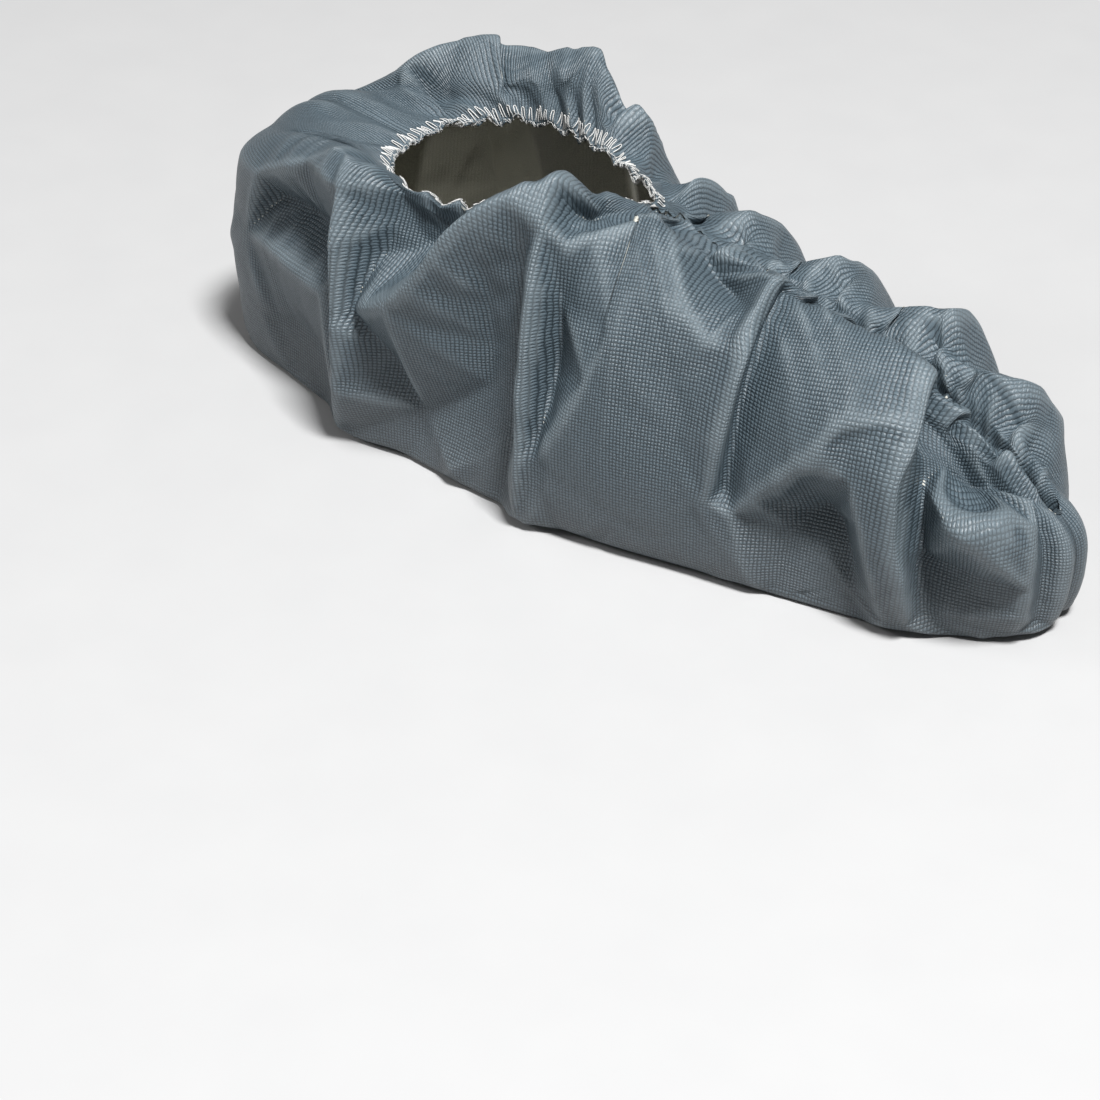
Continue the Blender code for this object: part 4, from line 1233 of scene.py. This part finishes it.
@dataclass
class Overlock:
    """White overlock stitches round the raw edge of the opening."""

    panels: Sequence[Panel]
    pitch: float = 0.0024
    bite: float = 0.0062
    back: float = 0.0016
    thread: float = 0.00019
    end_gap: float = 0.0002
    edge_turn: float = 0.0006
    loop_points: int = 17
    chain_swing: tuple[float, float, float] = (0.0010, 0.0006, 0.00035)
    seed: int = 31

    def build(self, shift: np.ndarray, material: bpy.types.Material) -> list[bpy.types.Object]:
        """Makes the loops over the edge and the chain along it, each as one mesh."""
        loops = np.concatenate([self.loops(panel) for panel in self.panels])
        chains = np.concatenate([self.chain(panel, turn) for panel in self.panels for turn in (1, -1)])
        pieces = []
        for name, paths, radius in (
            ("overlock_loops", loops, self.thread),
            ("overlock_chain", chains, self.thread * 0.6),
        ):
            points, faces, place = tubes(paths - shift, radius)
            pieces.append(mesh_object(name, points, faces, [material], place))
        return pieces

    def on_edge(self, panel: Panel, along: np.ndarray, across: np.ndarray, lift: np.ndarray) -> np.ndarray:
        """Places on the cloth round its raw edge.

        Args:
            panel: the cloth.
            along: metres along the rim from the heel seam.
            across: metres from the edge, above 0 on the outer face and below 0 on the inner one.
            lift: metres above the face.

        Returns:
            Points: the middle of the cloth at that distance from the edge, moved out by half its
            thickness and the lift, and round the edge on an arc.
        """
        top = panel.opening_columns
        columns = np.interp(along, panel.along_rim[:top], np.arange(top))
        both_rows = panel.edge_spacing()[None, :, None].repeat(2, 0)
        spacing = sampled(both_rows, np.zeros_like(columns), columns)[..., 0]
        rows = len(panel.rises) - 1 - np.abs(across) / spacing
        outer = sampled(panel.outer, rows, columns)
        inner = sampled(panel.inner, rows, columns)
        lower = sampled(panel.outer, rows - 1.5, columns)
        middle = (outer + inner) / 2
        beyond = unit(outer - lower)
        out = unit(outer - inner)
        turn = np.clip(across / self.edge_turn, -1, 1)
        half = SIZES.cloth / 2 + lift
        round_edge = np.sqrt(1 - turn**2) * half
        return middle + out * (turn * half)[..., None] + beyond * round_edge[..., None]

    def loops(self, panel: Panel) -> np.ndarray:
        """One hairpin for each stitch: from the inner face over the edge to the needle line and back."""
        random = np.random.default_rng(self.seed + panel.side.value)
        length = panel.opening_length
        count = int(length / self.pitch)
        start = (np.arange(count)[:, None] + 0.5 + random.uniform(-0.12, 0.12, (count, 1))) * length / count
        t = np.linspace(0, 1, self.loop_points)[None, :]
        reach = self.bite * random.uniform(0.82, 1.08, (count, 1))
        across = -self.back + (reach + self.back) * np.sin(math.pi * t) ** 0.5
        spread = self.pitch * (0.52 - 0.24 * np.clip(across / self.bite, 0, 1))
        lean = self.pitch * random.uniform(-0.25, 0.25, (count, 1)) * np.clip(across / self.bite, 0, 1)
        along = start + spread * (steps(t, 0.30, 0.70) - 0.5) + lean
        lift = self.thread * (1.1 + 0.6 * np.sin(3 * math.pi * t) ** 2)
        lift = lift + random.uniform(0, 0.00012, (count, 1))
        along = np.clip(along, self.end_gap, length - self.end_gap)
        return self.on_edge(panel, along, across, lift + 0 * along)

    def chain(self, panel: Panel, turn: int) -> np.ndarray:
        """Thread that winds along the edge, cut in pieces of the loops' number of points."""
        random = np.random.default_rng(self.seed + 7 * turn + panel.side.value)
        length = panel.opening_length
        turns = int(length / self.pitch)
        t = np.linspace(self.end_gap, length - self.end_gap, turns * 8)
        phase = turn * 2 * math.pi * t / length * turns
        wander = np.interp(t, np.linspace(0, length, turns), random.uniform(0.6, 1.5, turns))
        sideways, ahead, up = self.chain_swing
        across = sideways * wander * np.sin(phase)
        along = t + ahead * np.cos(phase * 1.5) * wander
        lift = up * wander * (1.2 + np.cos(phase))
        along = np.clip(along, self.end_gap, length - self.end_gap)
        path = self.on_edge(panel, along, across, lift)
        step = self.loop_points - 1
        first = np.arange(len(path) // step)[:, None] * step
        return path[np.minimum(first + np.arange(self.loop_points)[None, :], len(path) - 1)]


@dataclass
class OpeningElastic:
    """Flat elastic on the inner face of the hem, all round the opening."""

    panels: Sequence[Panel]
    width: float = 0.005
    thickness: float = 0.0008
    clearance: float = 0.00025
    below_edge: float = 0.0008
    rows: int = 7

    def build(self, shift: np.ndarray, material: bpy.types.Material) -> bpy.types.Object:
        """Makes the ring: the hem's inner face moved in by the clearance and by the thickness."""
        halves = []
        for panel in self.panels:
            top = panel.opening_columns
            away = np.linspace(self.width + self.below_edge, self.below_edge, self.rows)[:, None]
            rows = len(panel.rises) - 1 - away / panel.edge_spacing()[:top]
            columns = np.broadcast_to(np.arange(top, dtype=float), rows.shape)
            face = sampled(panel.inner, rows, columns)
            inward = unit(face - sampled(panel.outer, rows, columns))
            gaps = (self.clearance, self.clearance + self.thickness)
            both = np.stack([face + inward * gap for gap in gaps])
            both[:, :, [0, -1], 1] = 0.0
            halves.append(both)
        right, left = halves
        ends = (right[:, :, [0, -1]] + left[:, :, [0, -1]]) / 2
        faces_of = [ends[:, :, :1], right[:, :, 1:-1], ends[:, :, 1:], left[:, :, -2:0:-1]]
        outer, inner = np.concatenate(faces_of, axis=2)
        section = np.concatenate([outer, inner[::-1]])
        rows, columns = section.shape[:2]
        section = np.concatenate([section, section[:1]])
        faces = grid_faces(rows + 1, columns, round_columns=True)
        faces = np.where(faces >= rows * columns, faces - rows * columns, faces)
        points = section[:-1].reshape(-1, 3) - shift
        along = np.broadcast_to(row_lengths(section[:-1], 1) / UV_SPAN, (rows, columns))
        across = np.broadcast_to(np.linspace(0, 0.03, rows)[:, None], (rows, columns))
        piece = mesh_object("hem_elastic", points, faces, [material], np.stack([along, across], axis=-1))
        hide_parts("opening_elastic")
        return piece


@dataclass
class Overshoe:
    """The whole overshoe, in the CAD part's frame."""

    panels: tuple[Panel, Panel] = field(
        default_factory=lambda: (
            Panel(Side.RIGHT, RIGHT_FOLDS, RIGHT_LAPS, Crumple(90, 0.0010, 0.0034, 0.026, 3)),
            Panel(Side.LEFT, LEFT_FOLDS, LEFT_LAPS, Crumple(90, 0.0010, 0.0034, 0.026, 4)),
        )
    )

    def seam_shift(self) -> np.ndarray:
        """The move from the shell's own frame to the CAD part's: middle to middle, seam to seam."""
        ahead = np.concatenate([panel.outer[..., 0].ravel() for panel in self.panels])
        seam = (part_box("right_panel")[1].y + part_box("left_panel")[0].y) / 2
        middle = (CAD_BOX[0][0] + CAD_BOX[1][0]) / 2
        return np.array([(ahead.min() + ahead.max()) / 2 - middle, -seam, 0.0])

    def build(self) -> None:
        """Builds the cloth, the elastic and the thread, and reports each piece."""
        shift = self.seam_shift()
        LOG.info("shift to the part's frame: %s mm", np.round(shift * 1000, 2))
        cloth = (CoatedCloth().build(), UncoatedCloth().build())
        pieces = [panel.build(shift, cloth) for panel in self.panels]
        pieces.append(OpeningElastic(self.panels).build(shift, KnittedElastic().build()))
        pieces += Overlock(self.panels).build(shift, OverlockThread().build())
        for piece in pieces:
            LOG.info("%s: %d faces", piece.name, len(piece.data.polygons))


@dataclass
class Studio:
    """Pale floor, soft lights and the camera at the photograph's angle."""

    azimuth: float = 34.0
    elevation: float = 31.0
    distance: float = 1.0
    focal_pixels: float = 2800.0
    sensor: float = 36.0
    target: tuple[float, float, float] = (0.011, 0.0, 0.055)
    target_pixel: tuple[float, float] = (665.0, 335.0)
    lights: tuple[tuple[str, tuple[float, float, float], float, float], ...] = (
        ("key", (1.00, -0.60, 2.60), 0.50, 158.0),
        ("fill", (-1.6, -1.2, 1.2), 0.5, 12.0),
    )
    sky: float = 0.16

    def build(self, shift: np.ndarray) -> None:
        """Makes floor, lights, sky and camera."""
        self.floor()
        for name, place, size, power in self.lights:
            self.light(name, place, size, power)
        world = bpy.data.worlds.new("studio")
        world.use_nodes = True
        background = world.node_tree.nodes["Background"]
        background.inputs["Color"].default_value = (1.0, 1.0, 1.0, 1.0)
        background.inputs["Strength"].default_value = self.sky
        bpy.context.scene.world = world
        bpy.context.scene.view_settings.view_transform = "Standard"
        self.camera(shift)

    def floor(self) -> None:
        """Square floor at the overshoe's base."""
        half = 3.0
        points = np.array([[-half, -half, 0], [half, -half, 0], [half, half, 0], [-half, half, 0]])
        mesh = bpy.data.meshes.new("floor")
        mesh.from_pydata(points - (0, 0, 0.0001), [], [(0, 1, 2, 3)])
        mesh.materials.append(FloorPaper().build())
        floor = bpy.data.objects.new("floor", mesh)
        bpy.context.scene.collection.objects.link(floor)

    def light(self, name: str, place: tuple[float, float, float], size: float, power: float) -> None:
        """Square soft light at a place, turned to the overshoe."""
        lamp = bpy.data.lights.new(name, "AREA")
        lamp.size = size
        lamp.energy = power
        holder = bpy.data.objects.new(name, lamp)
        holder.location = place
        holder.rotation_euler = (Vector(self.target) - Vector(place)).to_track_quat("-Z", "Y").to_euler()
        bpy.context.scene.collection.objects.link(holder)

    def camera(self, shift: np.ndarray) -> None:
        """Camera that sees the target point at its pixel, level with the horizon."""
        azimuth, elevation = math.radians(self.azimuth), math.radians(self.elevation)
        level = np.array([math.sin(azimuth), -math.cos(azimuth), 0.0])
        back = level * math.cos(elevation) + np.array([0.0, 0.0, math.sin(elevation)])
        target = np.array(self.target) - shift
        eye = target + back * self.distance
        aim = target.copy()
        middle = PHOTO_PIXELS / 2
        for _ in range(30):
            ahead = unit(aim - eye)
            right = unit(np.cross(ahead, [0.0, 0.0, 1.0]))
            up = np.cross(right, ahead)
            seen = target - eye
            depth = seen @ ahead
            seen_pixel = middle + self.focal_pixels * np.array([seen @ right, -(seen @ up)]) / depth
            miss = np.array(self.target_pixel) - seen_pixel
            aim = aim - (right * miss[0] - up * miss[1]) * depth / self.focal_pixels
        lens = bpy.data.cameras.new("camera")
        lens.sensor_width = self.sensor
        lens.lens = self.sensor * self.focal_pixels / PHOTO_PIXELS
        holder = bpy.data.objects.new("camera", lens)
        matrix = Matrix((right, up, -ahead)).transposed().to_4x4()
        matrix.translation = Vector(eye)
        holder.matrix_world = matrix
        bpy.context.scene.collection.objects.link(holder)
        bpy.context.scene.camera = holder


def main() -> None:
    """Builds the overshoe and the studio."""
    logging.basicConfig(level=logging.INFO, format="%(name)s: %(message)s")
    overshoe = Overshoe()
    overshoe.build()
    Studio().build(overshoe.seam_shift())


if __name__ == "__main__":
    main()
